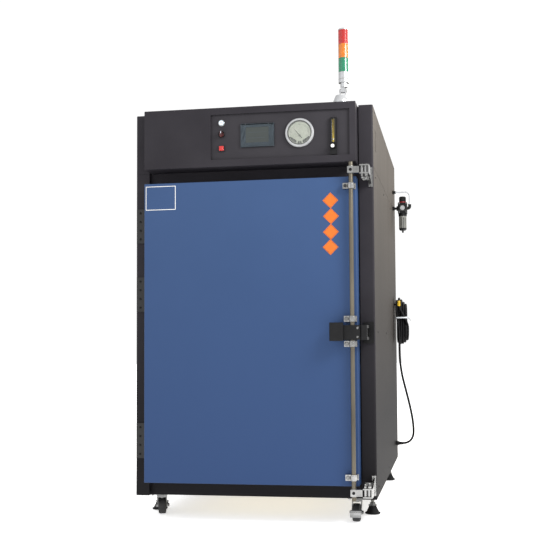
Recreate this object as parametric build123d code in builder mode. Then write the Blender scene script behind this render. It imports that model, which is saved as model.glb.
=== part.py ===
from build123d import *
from math import cos, radians, sin, tan
import os

# Cabinet drying oven on castors, in millimetres, +Z up, front facing -Y, +X to the right of the front.
# The origin is the middle of the whole outline, without the power cable, on the floor.

# Cabinet body
cabinet_width = 1040
cabinet_depth = 1400
cabinet_height = 1650
sheet = 2
control_section = 261       # height of the part above the seam
seam_gap = 2
flange = 12                 # folded edge of the outer panels
post_width = 60
post_depth = 29
post_wall = 2
post_corner = 8
panel_start = 10            # how far behind the front face the side panels begin
field_setback = 25          # plates between the posts lie this far behind the post faces
field_sheet = 4
reveal = 5                  # gap between the posts and the door or header
fit_gap = 0.3               # gap between separate bodies that nearly touch
running = 0.05              # radial clearance of shafts and spindles

# Door
door_bottom_edge = 66       # above the underside of the cabinet
door_top_gap = 56           # upper edge below the seam
door_stand = 80             # front face ahead of the post faces
door_corner = 3
pan_overlap = 18
pan_rise = 10               # inner pan behind the post faces
gasket_width = 22
gasket_lap = 18             # gasket beyond the chamber mouth

# Chamber and insulation
chamber_edge = 103.5        # mouth inside the door's upper and lower edges
machine_space = 269         # behind the rear insulation, for the motor
wool_gap = 6                # insulation to the folded edges of the side panels
insulation_thickness = 100
duct_width = 50
baffle_slot_length = 120
baffle_slot_height = 10
baffle_side_margin = 114.5  # first and last slot from the plate's ends
baffle_end_margin = 140     # lowest and highest slot from the chamber's floor and roof
baffle_rows = 8
baffle_columns = 3
fan_radius = 150
fan_width = 55
fan_blades = 8
shaft_radius = 8
motor_radius = 70
motor_length = 190
motor_plate = 200
motor_plate_thickness = 8
shaft_seat = 50             # shaft inside the motor
shelf_tiers = 3
shelf_headroom = 20         # extra space above the top shelf
shelf_inset = 70            # shelf behind the baffles' front edges
shelf_rear_space = 99       # shelf to the rear baffle
heater_inset = 480          # front leg of a heater behind the chamber mouth
heater_leg_gap = 90
heater_floor_gap = 40
heater_bend = 30
heater_radius = 6

# Header and control plate
header_gap = 6              # header above the seam
header_sheet = 2
window_from_right = 25      # window's right edge from the header's
window_edge = 30            # window from the header's upper and lower edges
flow_margin = 67            # flow meter's axis from the window's right edge
gauge_pitch = 143           # gauge's axis from the flow meter's
screen_pitch = 180.5        # screen's middle from the gauge's
button_pitch = 155.5        # buttons' axes from the screen's middle
button_margin = 46          # buttons' axes from the window's left edge
button_from_top = 35        # first button below the window's upper edge
button_from_low = 49        # square button above its lower edge
selector_rise = 5.5         # selector above the middle between the two
flow_top_gap = 36           # flow meter below the window's upper edge
flow_low_gap = 3            # and above its lower edge
valve_rise = 33             # valve axis above the flow meter's lower end
plate_setback = 10
plate_lap = 12
plate_sheet = 3

# Lock
rod_radius = 9
rod_from_edge = 19          # rod axis from the door's edge
rod_stand = 22              # rod axis ahead of the door face
rod_overrun = 56            # rod beyond the door, at both ends
arm_height = 27
arm_from_door = 22          # arm centre beyond the door's upper or lower edge
arm_reach = 35
guide_height = 24
hub_half = 13
handle_height = 60
handle_from_bottom = 623    # middle of the handle above the door's lower edge
handle_reach = 34           # plate end to the right of the rod axis
plate_thickness = 6
grip_reach = 90             # outer end of the grip, left of the rod axis
grip_start = 35
grip_thickness = 28
grip_height = 75
keeper_depth = 118
keeper_half = 19
keeper_width = 39

# Hinges
hinge_height = 150
hinge_from_low = 168        # lowest hinge above the door's lower edge
hinges_from_top = [469, 171]
hinge_from_post = 10        # pin axis from the post's inner edge
hinge_stand = 14            # pin axis ahead of the post faces
leaf_thickness = 5
leaf_width = 52
leaf_setback = 8            # door leaf ahead of the post faces
knuckle_radius = 8
pin_radius = 4

# Running gear
wheel_radius = 37.5
wheel_width = 32
castor_height = 98
castor_inset_x = 90         # castor axis from the cabinet side
castor_inset_y = 82
castor_trail = 38
left_castor_angle = 105     # direction in which the left front castor trails, from +X
right_castor_angle = -90
foot_inset_x = 38
foot_inset_y = 211
foot_radius = 34
foot_stem_radius = 8
foot_floor_gap = 4
base_height = 68
rail_width = 130

# Filter regulator, air line and exhaust
regulator_from_back = 190
regulator_drop = 1          # port axis below the seam
regulator_stand = 55        # body axis from the side panel
regulator_body_width = 50
line_radius = 4
line_bend = 22
line_axis = 94              # outer leg of the air line from the side panel
line_rise = 90              # panel fitting above the ports
exhaust_radius = 30
exhaust_length = 60
exhaust_drop = 150          # axis below the top

# Tower light
tower_radius = 22.2
tower_pivot_rise = 54       # folding pin above the header
housing_rise = 88           # housing above the header
housing_height = 44
lens_height = 60
tower_from_edge = 51        # column axis from the header's right edge
tower_stand = 38            # ahead of the post faces

# Power cable
cable_radius = 6
gland_from_back = 170
gland_height = 98

# Named edges in the part's own frame
grip_front = door_stand + rod_stand + 38
right_reach = cabinet_width / 2 + line_axis + 9
left_reach = cabinet_width / 2
cx = (left_reach - right_reach) / 2
front = (grip_front - cabinet_depth - exhaust_length) / 2
back = front + cabinet_depth
left = cx - cabinet_width / 2
right = cx + cabinet_width / 2
under = castor_height
top = under + cabinet_height
seam = top - control_section
field = front + field_setback
mouth = field + field_sheet

door_width = cabinet_width - 2 * post_width - 2 * reveal
door_left = cx - door_width / 2
door_right = cx + door_width / 2
door_front = front - door_stand
door_low = under + door_bottom_edge
door_high = seam - door_top_gap
door_height = door_high - door_low
door_back = front - sheet

chamber_left = left + flange + wool_gap + insulation_thickness + sheet
chamber_right = 2 * cx - chamber_left
chamber_width = chamber_right - chamber_left
chamber_low = door_low + chamber_edge
chamber_high = door_high - chamber_edge
chamber_height = chamber_high - chamber_low
chamber_back = back - machine_space - insulation_thickness - sheet

os.makedirs("parts", exist_ok=True)


def save(builder, name):
    builder.part.label = name
    export_step(builder.part, "parts/" + name + ".step")


def facing_front(y):
    return Plane.XZ.offset(-y)


def facing_right(x):
    return Plane.YZ.offset(x)


def level(z):
    return Plane.XY.offset(z)


# A square-edged solid between two limits on each axis, added to the part that is being built
def block(x0, x1, y0, y1, z0, z1, mode=Mode.ADD):
    with Locations(((x0 + x1) / 2, (y0 + y1) / 2, (z0 + z1) / 2)):
        Box(x1 - x0, y1 - y0, z1 - z0, mode=mode)


# Base frame: two box-section rails with threaded sleeves for the feet, joined by three cross members
rail_inner = cabinet_width / 2 - flange - rail_width
foot_x = [left + foot_inset_x, right - foot_inset_x]
foot_y = [front + foot_inset_y, back - foot_inset_y]
with BuildPart() as base_frame:
    for side in (-1, 1):
        rail_middle = cx + side * (rail_inner + rail_width / 2)
        with BuildSketch(facing_front(back - 14)):
            with Locations((rail_middle, under + base_height / 2)):
                Rectangle(rail_width, base_height)
                Rectangle(rail_width - 6, base_height - 6, mode=Mode.SUBTRACT)
        extrude(amount=cabinet_depth - 14 - mouth + front)
    for x in foot_x:
        for y in foot_y:
            with Locations((x, y, under)):
                Cylinder(foot_stem_radius + 6, base_height, align=(Align.CENTER, Align.CENTER, Align.MIN))
                Cylinder(foot_stem_radius + running, base_height, mode=Mode.SUBTRACT,
                         align=(Align.CENTER, Align.CENTER, Align.MIN))
    for share in (0.04, 0.5, 0.93):
        middle = mouth + share * (cabinet_depth - post_depth)
        block(cx - rail_inner + fit_gap, cx + rail_inner - fit_gap, middle, middle + 40,
              under, under + base_height)
save(base_frame, "base_frame")

# Front frame: two folded posts and the four plates set back between them
with BuildPart() as front_frame:
    for side in (-1, 1):
        outer = cabinet_width / 2
        inner = outer - post_width
        with BuildSketch(level(under)) as post_profile:
            with BuildLine():
                Polyline((cx + side * inner, front), (cx + side * outer, front),
                         (cx + side * outer, front + panel_start),
                         (cx + side * (outer - sheet), front + panel_start),
                         (cx + side * (outer - sheet), front + post_depth),
                         (cx + side * inner, front + post_depth), close=True)
            make_face()
            corner = post_profile.vertices().sort_by_distance((cx + side * outer, front, 0))[0]
            fillet(corner, post_corner)
            with Locations((cx + side * (inner + outer - sheet) / 2, front + post_depth / 2)):
                Rectangle(post_width - sheet - 2 * post_wall, post_depth - 2 * post_wall, mode=Mode.SUBTRACT)
        extrude(amount=cabinet_height)
        seam_x = cx + side * (inner + outer) / 2
        block(seam_x - post_width / 2, seam_x + post_width / 2, front - 1, front + 1,
              seam, seam + seam_gap, mode=Mode.SUBTRACT)
    post_inner = cabinet_width / 2 - post_width - fit_gap
    block(cx - post_inner, cx + post_inner, field, mouth, under, chamber_low - fit_gap)
    block(cx - post_inner, cx + post_inner, field, mouth, chamber_high + fit_gap, top)
    block(cx - post_inner, chamber_left, field, mouth, chamber_low, chamber_high)
    block(chamber_right, cx + post_inner, field, mouth, chamber_low, chamber_high)
save(front_frame, "front_frame")

# Side panels: a lower and an upper folded sheet on each side, vent slots in the upper one
gland_y = back - gland_from_back
gland_z = under + gland_height
regulator_y = back - regulator_from_back
regulator_z = seam - regulator_drop
line_top = regulator_z + line_rise
port_radius = 7
vent_slots = 8
vent_pitch = 12
vent_length = 60
hook_z = under + 858
hook_radius = 5
hook_reach = 43


def side_sheets(side):
    face = cx + side * cabinet_width / 2
    inward = -side
    for low, high in ((under + sheet, seam - seam_gap / 2), (seam + seam_gap / 2, top)):
        block(min(face, face + inward * sheet), max(face, face + inward * sheet),
              front + panel_start, back - sheet, low, high)
        fold_front = front + post_depth + fit_gap
        fold_x = (min(face, face + inward * flange), max(face, face + inward * flange))
        block(fold_x[0], fold_x[1], fold_front, fold_front + sheet, low, high - sheet)
        block(fold_x[0], fold_x[1], back - 2 * sheet, back - sheet, low, high - sheet)
    with BuildSketch(facing_right(face)) as slots:
        with Locations((front + 130, top - 129)):
            with GridLocations(vent_length, vent_pitch, 1, vent_slots):
                SlotOverall(vent_length, 4)
    extrude(slots.sketch, amount=inward * sheet, mode=Mode.SUBTRACT)


with BuildPart() as left_side_panel:
    side_sheets(-1)
save(left_side_panel, "left_side_panel")

with BuildPart() as right_side_panel:
    side_sheets(1)
    with BuildSketch(facing_right(right - sheet)):
        with Locations((gland_y, gland_z)):
            Circle(9)
        with Locations((regulator_y, regulator_z), (regulator_y, line_top)):
            Circle(port_radius)
    extrude(amount=sheet, mode=Mode.SUBTRACT)
    with BuildSketch(facing_right(right + fit_gap)):
        with Locations((gland_y, hook_z)):
            Circle(hook_radius)
    extrude(amount=hook_reach - fit_gap)
    with BuildSketch(facing_right(right + fit_gap)):
        with Locations((gland_y, hook_z)):
            RectangleRounded(34, 34, 4)
    extrude(amount=2)
save(right_side_panel, "right_side_panel")

# Roof: folded sheet between the side panels
with BuildPart() as top_panel:
    block(left + sheet, right - sheet, front + post_depth, back - sheet, top - sheet, top)
    for y in (front + post_depth + 10, back - 2 * sheet):
        block(left + flange + sheet, right - flange - sheet, y, y + sheet, top - 2 * flange, top - sheet)
save(top_panel, "top_panel")

# Rear panel with two fields of vent slots, the exhaust pipe and the nitrogen inlet
exhaust_z = top - exhaust_drop
inlet_x = cx + 300
inlet_radius = 5.7
inlet_length = 20
with BuildPart() as rear_panel:
    with BuildSketch(facing_front(back)):
        with Locations((cx, (under + sheet + top) / 2)):
            Rectangle(cabinet_width, cabinet_height - sheet)
        for x in (-250, 250):
            with Locations((cx + x, under + 330)):
                with GridLocations(110, 16, 1, 7):
                    SlotOverall(110, 5, mode=Mode.SUBTRACT)
        with Locations((cx, exhaust_z)):
            Circle(exhaust_radius + fit_gap, mode=Mode.SUBTRACT)
        with Locations((inlet_x, exhaust_z)):
            Circle(11 + fit_gap, mode=Mode.SUBTRACT)
    extrude(amount=sheet)
    with BuildSketch(facing_front(back + exhaust_length)):
        with Locations((cx, exhaust_z)):
            Circle(exhaust_radius)
            Circle(exhaust_radius - sheet, mode=Mode.SUBTRACT)
    extrude(amount=exhaust_length + 3 * sheet)
    with BuildSketch(facing_front(back + fit_gap + sheet)):
        with Locations((cx, exhaust_z)):
            Circle(exhaust_radius + 22)
            Circle(exhaust_radius, mode=Mode.SUBTRACT)
    extrude(amount=sheet)
    with BuildSketch(facing_front(back + inlet_length)):
        with Locations((inlet_x, exhaust_z)):
            RegularPolygon(13, 6)
            Circle(inlet_radius, mode=Mode.SUBTRACT)
    extrude(amount=inlet_length - fit_gap)
    with BuildSketch(facing_front(back + fit_gap)):
        with Locations((inlet_x, exhaust_z)):
            Circle(11)
            Circle(inlet_radius, mode=Mode.SUBTRACT)
    extrude(amount=fit_gap + sheet + 12)
save(rear_panel, "rear_panel")

# Stainless chamber: five welded sheets, open to the front, with a shaft hole in the back
fan_z = (chamber_low + chamber_high) / 2
shaft_hole = shaft_radius + 4
with BuildPart() as inner_chamber:
    lined = (chamber_left + fit_gap, chamber_right - fit_gap, mouth, chamber_back + sheet)
    for edge in (chamber_left - sheet, chamber_right):
        block(edge, edge + sheet, mouth, chamber_back + sheet, chamber_low - sheet, chamber_high + sheet)
    for edge in (chamber_low - sheet, chamber_high):
        block(*lined, edge, edge + sheet)
    with BuildSketch(facing_front(chamber_back + sheet)):
        with Locations((cx, fan_z)):
            Rectangle(chamber_width - 2 * fit_gap, chamber_height - 2 * fit_gap)
            Circle(shaft_hole, mode=Mode.SUBTRACT)
    extrude(amount=sheet)
save(inner_chamber, "inner_chamber")

# Mineral wool round the chamber: five slabs
wool_left = chamber_left - sheet
wool_right = chamber_right + sheet
wool_low = chamber_low - sheet
wool_high = chamber_high + sheet
wool_back = chamber_back + sheet
lag = insulation_thickness
with BuildPart() as insulation:
    for edge in (wool_left - lag, wool_right):
        block(edge, edge + lag, mouth, wool_back, wool_low + fit_gap, wool_high - fit_gap)
    block(wool_left - lag, wool_right + lag, mouth, wool_back, under + base_height, wool_low)
    block(wool_left - lag, wool_right + lag, mouth, wool_back, wool_high, wool_high + lag)
    with BuildSketch(facing_front(wool_back + fit_gap + lag)):
        with Locations((cx, fan_z)):
            Rectangle(chamber_width + 2 * sheet, chamber_height + 2 * sheet)
            Circle(shaft_hole, mode=Mode.SUBTRACT)
    extrude(amount=lag)
save(insulation, "insulation")

# Air baffles: slotted side plates and a back plate with the fan's inlet ring
baffle_back = chamber_back - fan_width - 45
baffle_front = mouth + 31
column_room = baffle_back - baffle_front - 2 * baffle_side_margin - baffle_slot_length
row_room = chamber_height - 2 * baffle_end_margin - baffle_slot_height
with BuildPart() as air_baffles:
    for side in (-1, 1):
        plate_x = cx + side * (chamber_width / 2 - duct_width)
        with BuildSketch(facing_right(plate_x - sheet / 2)):
            with Locations(((baffle_front + baffle_back) / 2, fan_z)):
                Rectangle(baffle_back - baffle_front, chamber_height)
                with GridLocations(column_room / (baffle_columns - 1), row_room / (baffle_rows - 1),
                                   baffle_columns, baffle_rows):
                    Rectangle(baffle_slot_length, baffle_slot_height, mode=Mode.SUBTRACT)
        extrude(amount=sheet)
        flange_x = plate_x + side * (sheet / 2 + fit_gap)
        wall_x = cx + side * chamber_width / 2
        block(min(flange_x, wall_x), max(flange_x, wall_x), baffle_front, baffle_front + sheet,
              chamber_low, chamber_high)
    with BuildSketch(facing_front(baffle_back)):
        with Locations((cx, fan_z)):
            Rectangle(chamber_width - 2 * duct_width - sheet - 2 * fit_gap, chamber_height)
            Circle(fan_radius - 50, mode=Mode.SUBTRACT)
    extrude(amount=sheet)
save(air_baffles, "air_baffles")

# Shelf rack: four uprights with rests, and three barred shelves lying on them
shelf_pitch = (chamber_height - shelf_headroom) / (shelf_tiers + 1)
shelf_bar = 12
shelf_bars = 9
shelf_width = chamber_width - 2 * duct_width - 40
shelf_front = baffle_front + shelf_inset
shelf_depth = baffle_back - shelf_rear_space - shelf_front
upright_y = [shelf_front + 10, shelf_front + shelf_depth - 10]
with BuildPart() as shelf_rack:
    for side in (-1, 1):
        upright_x = cx + side * (shelf_width / 2 + 8)
        for y in upright_y:
            block(upright_x - 6, upright_x + 6, y, y + 20, chamber_low, chamber_high - 60)
            for tier in range(1, shelf_tiers + 1):
                rest_z = chamber_low + tier * shelf_pitch
                rest_x = upright_x - side * 16
                block(min(upright_x, rest_x), max(upright_x, rest_x), y, y + 20, rest_z - 4, rest_z)
    for tier in range(1, shelf_tiers + 1):
        shelf_z = chamber_low + tier * shelf_pitch + fit_gap
        with BuildSketch(level(shelf_z)):
            with Locations((cx, shelf_front + shelf_depth / 2)):
                Rectangle(shelf_width, shelf_depth)
                Rectangle(shelf_width - 2 * shelf_bar, shelf_depth - 2 * shelf_bar, mode=Mode.SUBTRACT)
                with GridLocations((shelf_width - shelf_bar) / (shelf_bars + 1), 1, shelf_bars, 1):
                    Rectangle(shelf_bar, shelf_depth - shelf_bar)
        extrude(amount=10)
save(shelf_rack, "shelf_rack")

# Tube heaters: a hairpin in each side duct, its ends led up through the roof of the chamber
heater_y = mouth + heater_inset
heater_low = chamber_low + heater_floor_gap
heater_rear = heater_y + heater_leg_gap
with BuildPart() as heater_elements:
    for side in (-1, 1):
        heater_x = cx + side * (chamber_width / 2 - duct_width / 2)
        with BuildLine() as hairpin:
            FilletPolyline((heater_x, heater_y, chamber_high), (heater_x, heater_y, heater_low),
                           (heater_x, heater_rear, heater_low), (heater_x, heater_rear, chamber_high),
                           radius=heater_bend)
        with BuildSketch(level(chamber_high)):
            with Locations((heater_x, heater_y)):
                Circle(heater_radius)
        sweep(path=hairpin.wires()[0])
save(heater_elements, "heater_elements")

# Fan motor on a plate at the back of the insulation, with cooling ribs
motor_front = wool_back + lag + fit_gap
motor_back = motor_front + motor_plate_thickness
with BuildPart() as fan_motor:
    with BuildSketch(facing_front(motor_back)):
        with Locations((cx, fan_z)):
            RectangleRounded(motor_plate, motor_plate, 12)
            Circle(shaft_radius + running, mode=Mode.SUBTRACT)
    extrude(amount=motor_plate_thickness)
    with BuildSketch(facing_front(motor_back + motor_length)):
        with Locations((cx, fan_z)):
            Circle(motor_radius)
            with PolarLocations(motor_radius + 3, 12):
                Rectangle(10, 4)
    extrude(amount=motor_length)
    with BuildSketch(facing_front(motor_back + shaft_seat)):
        with Locations((cx, fan_z)):
            Circle(shaft_radius + running)
    extrude(amount=shaft_seat, mode=Mode.SUBTRACT)
save(fan_motor, "fan_motor")

# Fan wheel: back plate, front ring, blades and the shaft that the motor carries
fan_back = chamber_back - 25
blade_inner = 70
with BuildPart() as fan_wheel:
    with BuildSketch(facing_front(fan_back)):
        with Locations((cx, fan_z)):
            Circle(fan_radius)
    extrude(amount=3)
    with BuildSketch(facing_front(fan_back - 3)):
        with Locations((cx, fan_z)):
            with PolarLocations((blade_inner + fan_radius) / 2, fan_blades):
                with Locations(Location((0, 0), -35)):
                    Rectangle(fan_radius - blade_inner, 3)
    extrude(amount=fan_width)
    with BuildSketch(facing_front(fan_back - 3 - fan_width)):
        with Locations((cx, fan_z)):
            Circle(fan_radius)
            Circle(fan_radius - 38, mode=Mode.SUBTRACT)
    extrude(amount=3)
    with BuildSketch(facing_front(motor_back + shaft_seat - 1)):
        with Locations((cx, fan_z)):
            Circle(shaft_radius)
    extrude(amount=motor_back + shaft_seat - 1 - fan_back)
    with BuildSketch(facing_front(fan_back)):
        with Locations((cx, fan_z)):
            Circle(22)
    extrude(amount=28)
save(fan_wheel, "fan_wheel")

# Header box: a sheet tray open to the rear, with the control window folded inwards
header_high = top - sheet
header_low = seam + header_gap
window_low = header_low + window_edge
window_high = header_high - window_edge
window_right = door_right - window_from_right
flow_x = window_right - flow_margin
gauge_x = flow_x - gauge_pitch
screen_x = gauge_x - screen_pitch
button_x = screen_x - button_pitch
window_left = button_x - button_margin
window_x = (window_left + window_right) / 2
window_z = (window_low + window_high) / 2
window_width = window_right - window_left
window_height = window_high - window_low
with BuildPart() as header_box:
    block(door_left, door_right, door_front, field, header_low, header_high)
    fillet(header_box.edges().filter_by(Axis.X).group_by(Axis.Y)[0], door_corner)
    block(door_left + header_sheet, door_right - header_sheet, door_front + header_sheet, field,
          header_low + header_sheet, header_high - header_sheet, mode=Mode.SUBTRACT)
    with BuildSketch(facing_front(door_front + plate_setback)):
        with Locations((window_x, window_z)):
            Rectangle(window_width + 2 * header_sheet, window_height + 2 * header_sheet)
    extrude(amount=plate_setback)
    with BuildSketch(facing_front(door_front + plate_setback)):
        with Locations((window_x, window_z)):
            Rectangle(window_width, window_height)
    extrude(amount=plate_setback, mode=Mode.SUBTRACT)
save(header_box, "header_box")

# Control plate behind the window, with the round bezels and the square one, and cut-outs for the rest
plate_front = door_front + plate_setback
button_high = window_high - button_from_top
button_low = window_low + button_from_low
button_z = [button_high, (button_high + button_low) / 2 + selector_rise, button_low]
bezel_radius = 14.5
button_radius = 10.4
square_button = 20
square_bezel = 26
panel_depth = 30
screen_z = window_z + 3
screen_width = 143
screen_height = 99
gauge_z = window_z + 4.5
gauge_radius = 60.5
gauge_case_radius = 56
flow_top = window_high - flow_top_gap
flow_bottom = window_low + flow_low_gap
with BuildPart() as control_plate:
    block(window_x - window_width / 2 - plate_lap, window_x + window_width / 2 + plate_lap,
          plate_front, plate_front + plate_sheet,
          window_z - window_height / 2 - plate_lap, window_z + window_height / 2 + plate_lap)
    for z in button_z[:2]:
        with BuildSketch(facing_front(plate_front)):
            with Locations((button_x, z)):
                Circle(bezel_radius)
        extrude(amount=4)
    for z in button_z:
        with BuildSketch(facing_front(plate_front + panel_depth)):
            with Locations((button_x, z)):
                RectangleRounded(27, 27, 4)
        extrude(amount=panel_depth - plate_sheet)
    with BuildSketch(facing_front(plate_front)):
        with Locations((button_x, button_z[2])):
            RectangleRounded(square_bezel, square_bezel, 2)
    extrude(amount=4)
    with BuildSketch(facing_front(plate_front + panel_depth - 4)):
        for z in button_z[:2]:
            with Locations((button_x, z)):
                Circle(button_radius + running)
        with Locations((button_x, button_z[2])):
            Rectangle(square_button + 2 * running, square_button + 2 * running)
    extrude(amount=panel_depth + 1, mode=Mode.SUBTRACT)
    with BuildSketch(facing_front(plate_front + plate_sheet)):
        with Locations((screen_x, screen_z)):
            Rectangle(screen_width - 12, screen_height - 12)
        with Locations((gauge_x, gauge_z)):
            Circle(gauge_case_radius + fit_gap)
    extrude(amount=plate_sheet, mode=Mode.SUBTRACT)
save(control_plate, "control_plate")

# Push button, selector and square button
button_travel = 4
with BuildPart() as power_button:
    with BuildSketch(facing_front(plate_front + panel_depth - 4 - button_travel - 1)):
        with Locations((button_x, button_z[0])):
            Circle(button_radius)
    extrude(amount=panel_depth - 4 - button_travel - 1 + 9)
    chamfer(power_button.faces().sort_by(Axis.Y)[0].edges(), 1.2)
save(power_button, "power_button")

with BuildPart() as selector_knob:
    with BuildSketch(facing_front(plate_front + panel_depth - 5)):
        with Locations((button_x, button_z[1])):
            Circle(button_radius)
    extrude(amount=panel_depth - 5 + 7)
    with BuildSketch(facing_front(plate_front - 7)):
        with Locations((button_x, button_z[1])):
            SlotOverall(2 * bezel_radius - 1, 9, rotation=90)
    extrude(amount=11)
save(selector_knob, "selector_knob")

with BuildPart() as stop_button:
    with BuildSketch(facing_front(plate_front + panel_depth - 4 - button_travel - 1)):
        with Locations((button_x, button_z[2])):
            Rectangle(square_button, square_button)
    extrude(amount=panel_depth - 4 - button_travel - 1 + 10)
    chamfer(stop_button.faces().sort_by(Axis.Y)[0].edges(), 2)
save(stop_button, "stop_button")

# Touch screen: bezel ahead of the plate, glass recess and the housing behind
glass_recess = 1.5
with BuildPart() as touch_screen:
    with BuildSketch(facing_front(plate_front)):
        with Locations((screen_x, screen_z)):
            RectangleRounded(screen_width, screen_height, 4)
    extrude(amount=7)
    with BuildSketch(facing_front(plate_front - 7 + glass_recess)):
        with Locations((screen_x - 0.3, screen_z + 1.3)):
            Rectangle(100, 66)
    extrude(amount=glass_recess, mode=Mode.SUBTRACT)
    with BuildSketch(facing_front(plate_front + panel_depth)):
        with Locations((screen_x, screen_z)):
            Rectangle(screen_width - 12 - 2 * fit_gap, screen_height - 12 - 2 * fit_gap)
    extrude(amount=panel_depth)
save(touch_screen, "touch_screen")

# Differential-pressure gauge: case with a dial recess, and its pointer on a fine spindle
pivot_z = gauge_z - 12
dial_radius = 52
with BuildPart() as gauge_case:
    with BuildSketch(facing_front(plate_front)):
        with Locations((gauge_x, gauge_z)):
            Circle(gauge_radius)
    extrude(amount=12)
    with BuildSketch(facing_front(plate_front + 45)):
        with Locations((gauge_x, gauge_z)):
            Circle(gauge_case_radius)
    extrude(amount=45)
    chamfer(gauge_case.faces().sort_by(Axis.Y)[0].edges(), 3)
    with BuildSketch(facing_front(plate_front - 4)):
        with Locations((gauge_x, gauge_z)):
            Circle(dial_radius)
    extrude(amount=10, mode=Mode.SUBTRACT)
    with BuildSketch(facing_front(plate_front - 4)):
        with Locations((gauge_x, pivot_z)):
            Circle(1.5)
    extrude(amount=5)
save(gauge_case, "gauge_case")

pointer_length = 42
with BuildPart() as gauge_pointer:
    with BuildSketch(facing_front(plate_front - 6)):
        with Locations(Location((gauge_x, pivot_z), 130)):
            Circle(4)
            with Locations((pointer_length / 2 - 7, 0)):
                Rectangle(pointer_length + 14, 2.2)
            Circle(1.5 + running, mode=Mode.SUBTRACT)
    extrude(amount=1.5)
save(gauge_pointer, "gauge_pointer")

# Flow meter: clear-tube body with the tube slot, and the needle valve's knob below
valve_x = flow_x - 2
valve_z = flow_bottom + valve_rise
tube_low = valve_z + 15
tube_high = flow_top - 3
with BuildPart() as flowmeter_body:
    block(flow_x - 14, flow_x + 14, plate_front - 12, plate_front, flow_bottom, flow_top)
    block(flow_x - 9.5, flow_x + 9.5, plate_front - 13, plate_front - 6,
          tube_low, tube_high, mode=Mode.SUBTRACT)
    with Locations((flow_x, plate_front - 8, (tube_low + tube_high) / 2)):
        Cone(4, 5, tube_high - tube_low)
    with BuildSketch(facing_front(plate_front - 2)):
        with Locations((valve_x, valve_z)):
            Circle(3 + running)
    extrude(amount=11, mode=Mode.SUBTRACT)
save(flowmeter_body, "flowmeter_body")

with BuildPart() as flow_valve_knob:
    with BuildSketch(facing_front(plate_front - 2.5)):
        with Locations((valve_x, valve_z)):
            Circle(3)
    extrude(amount=12)
    with BuildSketch(facing_front(plate_front - 12 - fit_gap)):
        with Locations((valve_x, valve_z)):
            Circle(11)
            with PolarLocations(11, 12):
                Circle(1.1, mode=Mode.SUBTRACT)
    extrude(amount=14)
save(flow_valve_knob, "flow_valve_knob")

# Door: outer tray, inner pan plugged into it, and the gasket's four strips
with BuildPart() as door_skin:
    block(door_left, door_right, door_front, door_back, door_low, door_high)
    fillet(door_skin.faces().sort_by(Axis.Y)[0].edges(), door_corner)
    block(door_left + sheet, door_right - sheet, door_front + sheet, door_back + 1,
          door_low + sheet, door_high - sheet, mode=Mode.SUBTRACT)
save(door_skin, "door_skin")

pan_edge = sheet + fit_gap
pan_back = front + pan_rise
with BuildPart() as door_inner_pan:
    block(door_left + pan_edge, door_right - pan_edge, front - sheet - pan_overlap, pan_back,
          door_low + pan_edge, door_high - pan_edge)
    block(door_left + pan_edge + sheet, door_right - pan_edge - sheet, front - 2 * pan_overlap, pan_back - sheet,
          door_low + pan_edge + sheet, door_high - pan_edge - sheet, mode=Mode.SUBTRACT)
save(door_inner_pan, "door_inner_pan")

seal_inner_x = chamber_width / 2 + gasket_lap
seal_inner_z = chamber_height / 2 + gasket_lap
with BuildPart() as door_gasket:
    for side in (-1, 1):
        seal_x = cx + side * (seal_inner_x + gasket_width / 2)
        seal_z = fan_z + side * (seal_inner_z + gasket_width / 2)
        block(seal_x - gasket_width / 2, seal_x + gasket_width / 2, pan_back, field - fit_gap,
              fan_z - seal_inner_z - gasket_width, fan_z + seal_inner_z + gasket_width)
        block(cx - seal_inner_x + fit_gap, cx + seal_inner_x - fit_gap, pan_back, field - fit_gap,
              seal_z - gasket_width / 2, seal_z + gasket_width / 2)
save(door_gasket, "door_gasket")

# Hinges: leaves on the post with outer knuckles, leaves on the door's edge with the middle knuckle and pin
hinge_z = [door_low + hinge_from_low] + [door_high - drop for drop in hinges_from_top]
hinge_x = left + post_width - hinge_from_post
hinge_y = front - hinge_stand
middle_knuckle = hinge_height / 3
with BuildPart() as frame_hinge_leaves:
    for z in hinge_z:
        block(left + 4, hinge_x - 4, front - leaf_thickness, front, z - hinge_height / 2, z + hinge_height / 2)
        for end in (-1, 1):
            near = z + end * (middle_knuckle / 2 + fit_gap)
            far = z + end * hinge_height / 2
            low, high = min(near, far), max(near, far)
            block(hinge_x - 6, hinge_x + 6, hinge_y, front, low, high)
            with Locations((hinge_x, hinge_y, (low + high) / 2)):
                Cylinder(knuckle_radius, high - low)
        with Locations((hinge_x, hinge_y, z)):
            Cylinder(knuckle_radius + 1, middle_knuckle, mode=Mode.SUBTRACT)
            Cylinder(pin_radius + running, hinge_height, mode=Mode.SUBTRACT)
save(frame_hinge_leaves, "frame_hinge_leaves")

with BuildPart() as door_hinge_leaves:
    for z in hinge_z:
        block(door_left - leaf_thickness, door_left, front - leaf_setback - leaf_width, front - leaf_setback,
              z - hinge_height / 2, z + hinge_height / 2)
        block(hinge_x, door_left - 4, hinge_y - 6, hinge_y + 5, z - middle_knuckle / 2, z + middle_knuckle / 2)
        with Locations((hinge_x, hinge_y, z)):
            Cylinder(knuckle_radius, middle_knuckle)
            Cylinder(pin_radius, hinge_height + 2)
        with Locations((hinge_x, hinge_y, z + hinge_height / 2 + fit_gap + 1.5)):
            Cylinder(pin_radius + 2, 3)
save(door_hinge_leaves, "door_hinge_leaves")

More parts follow.
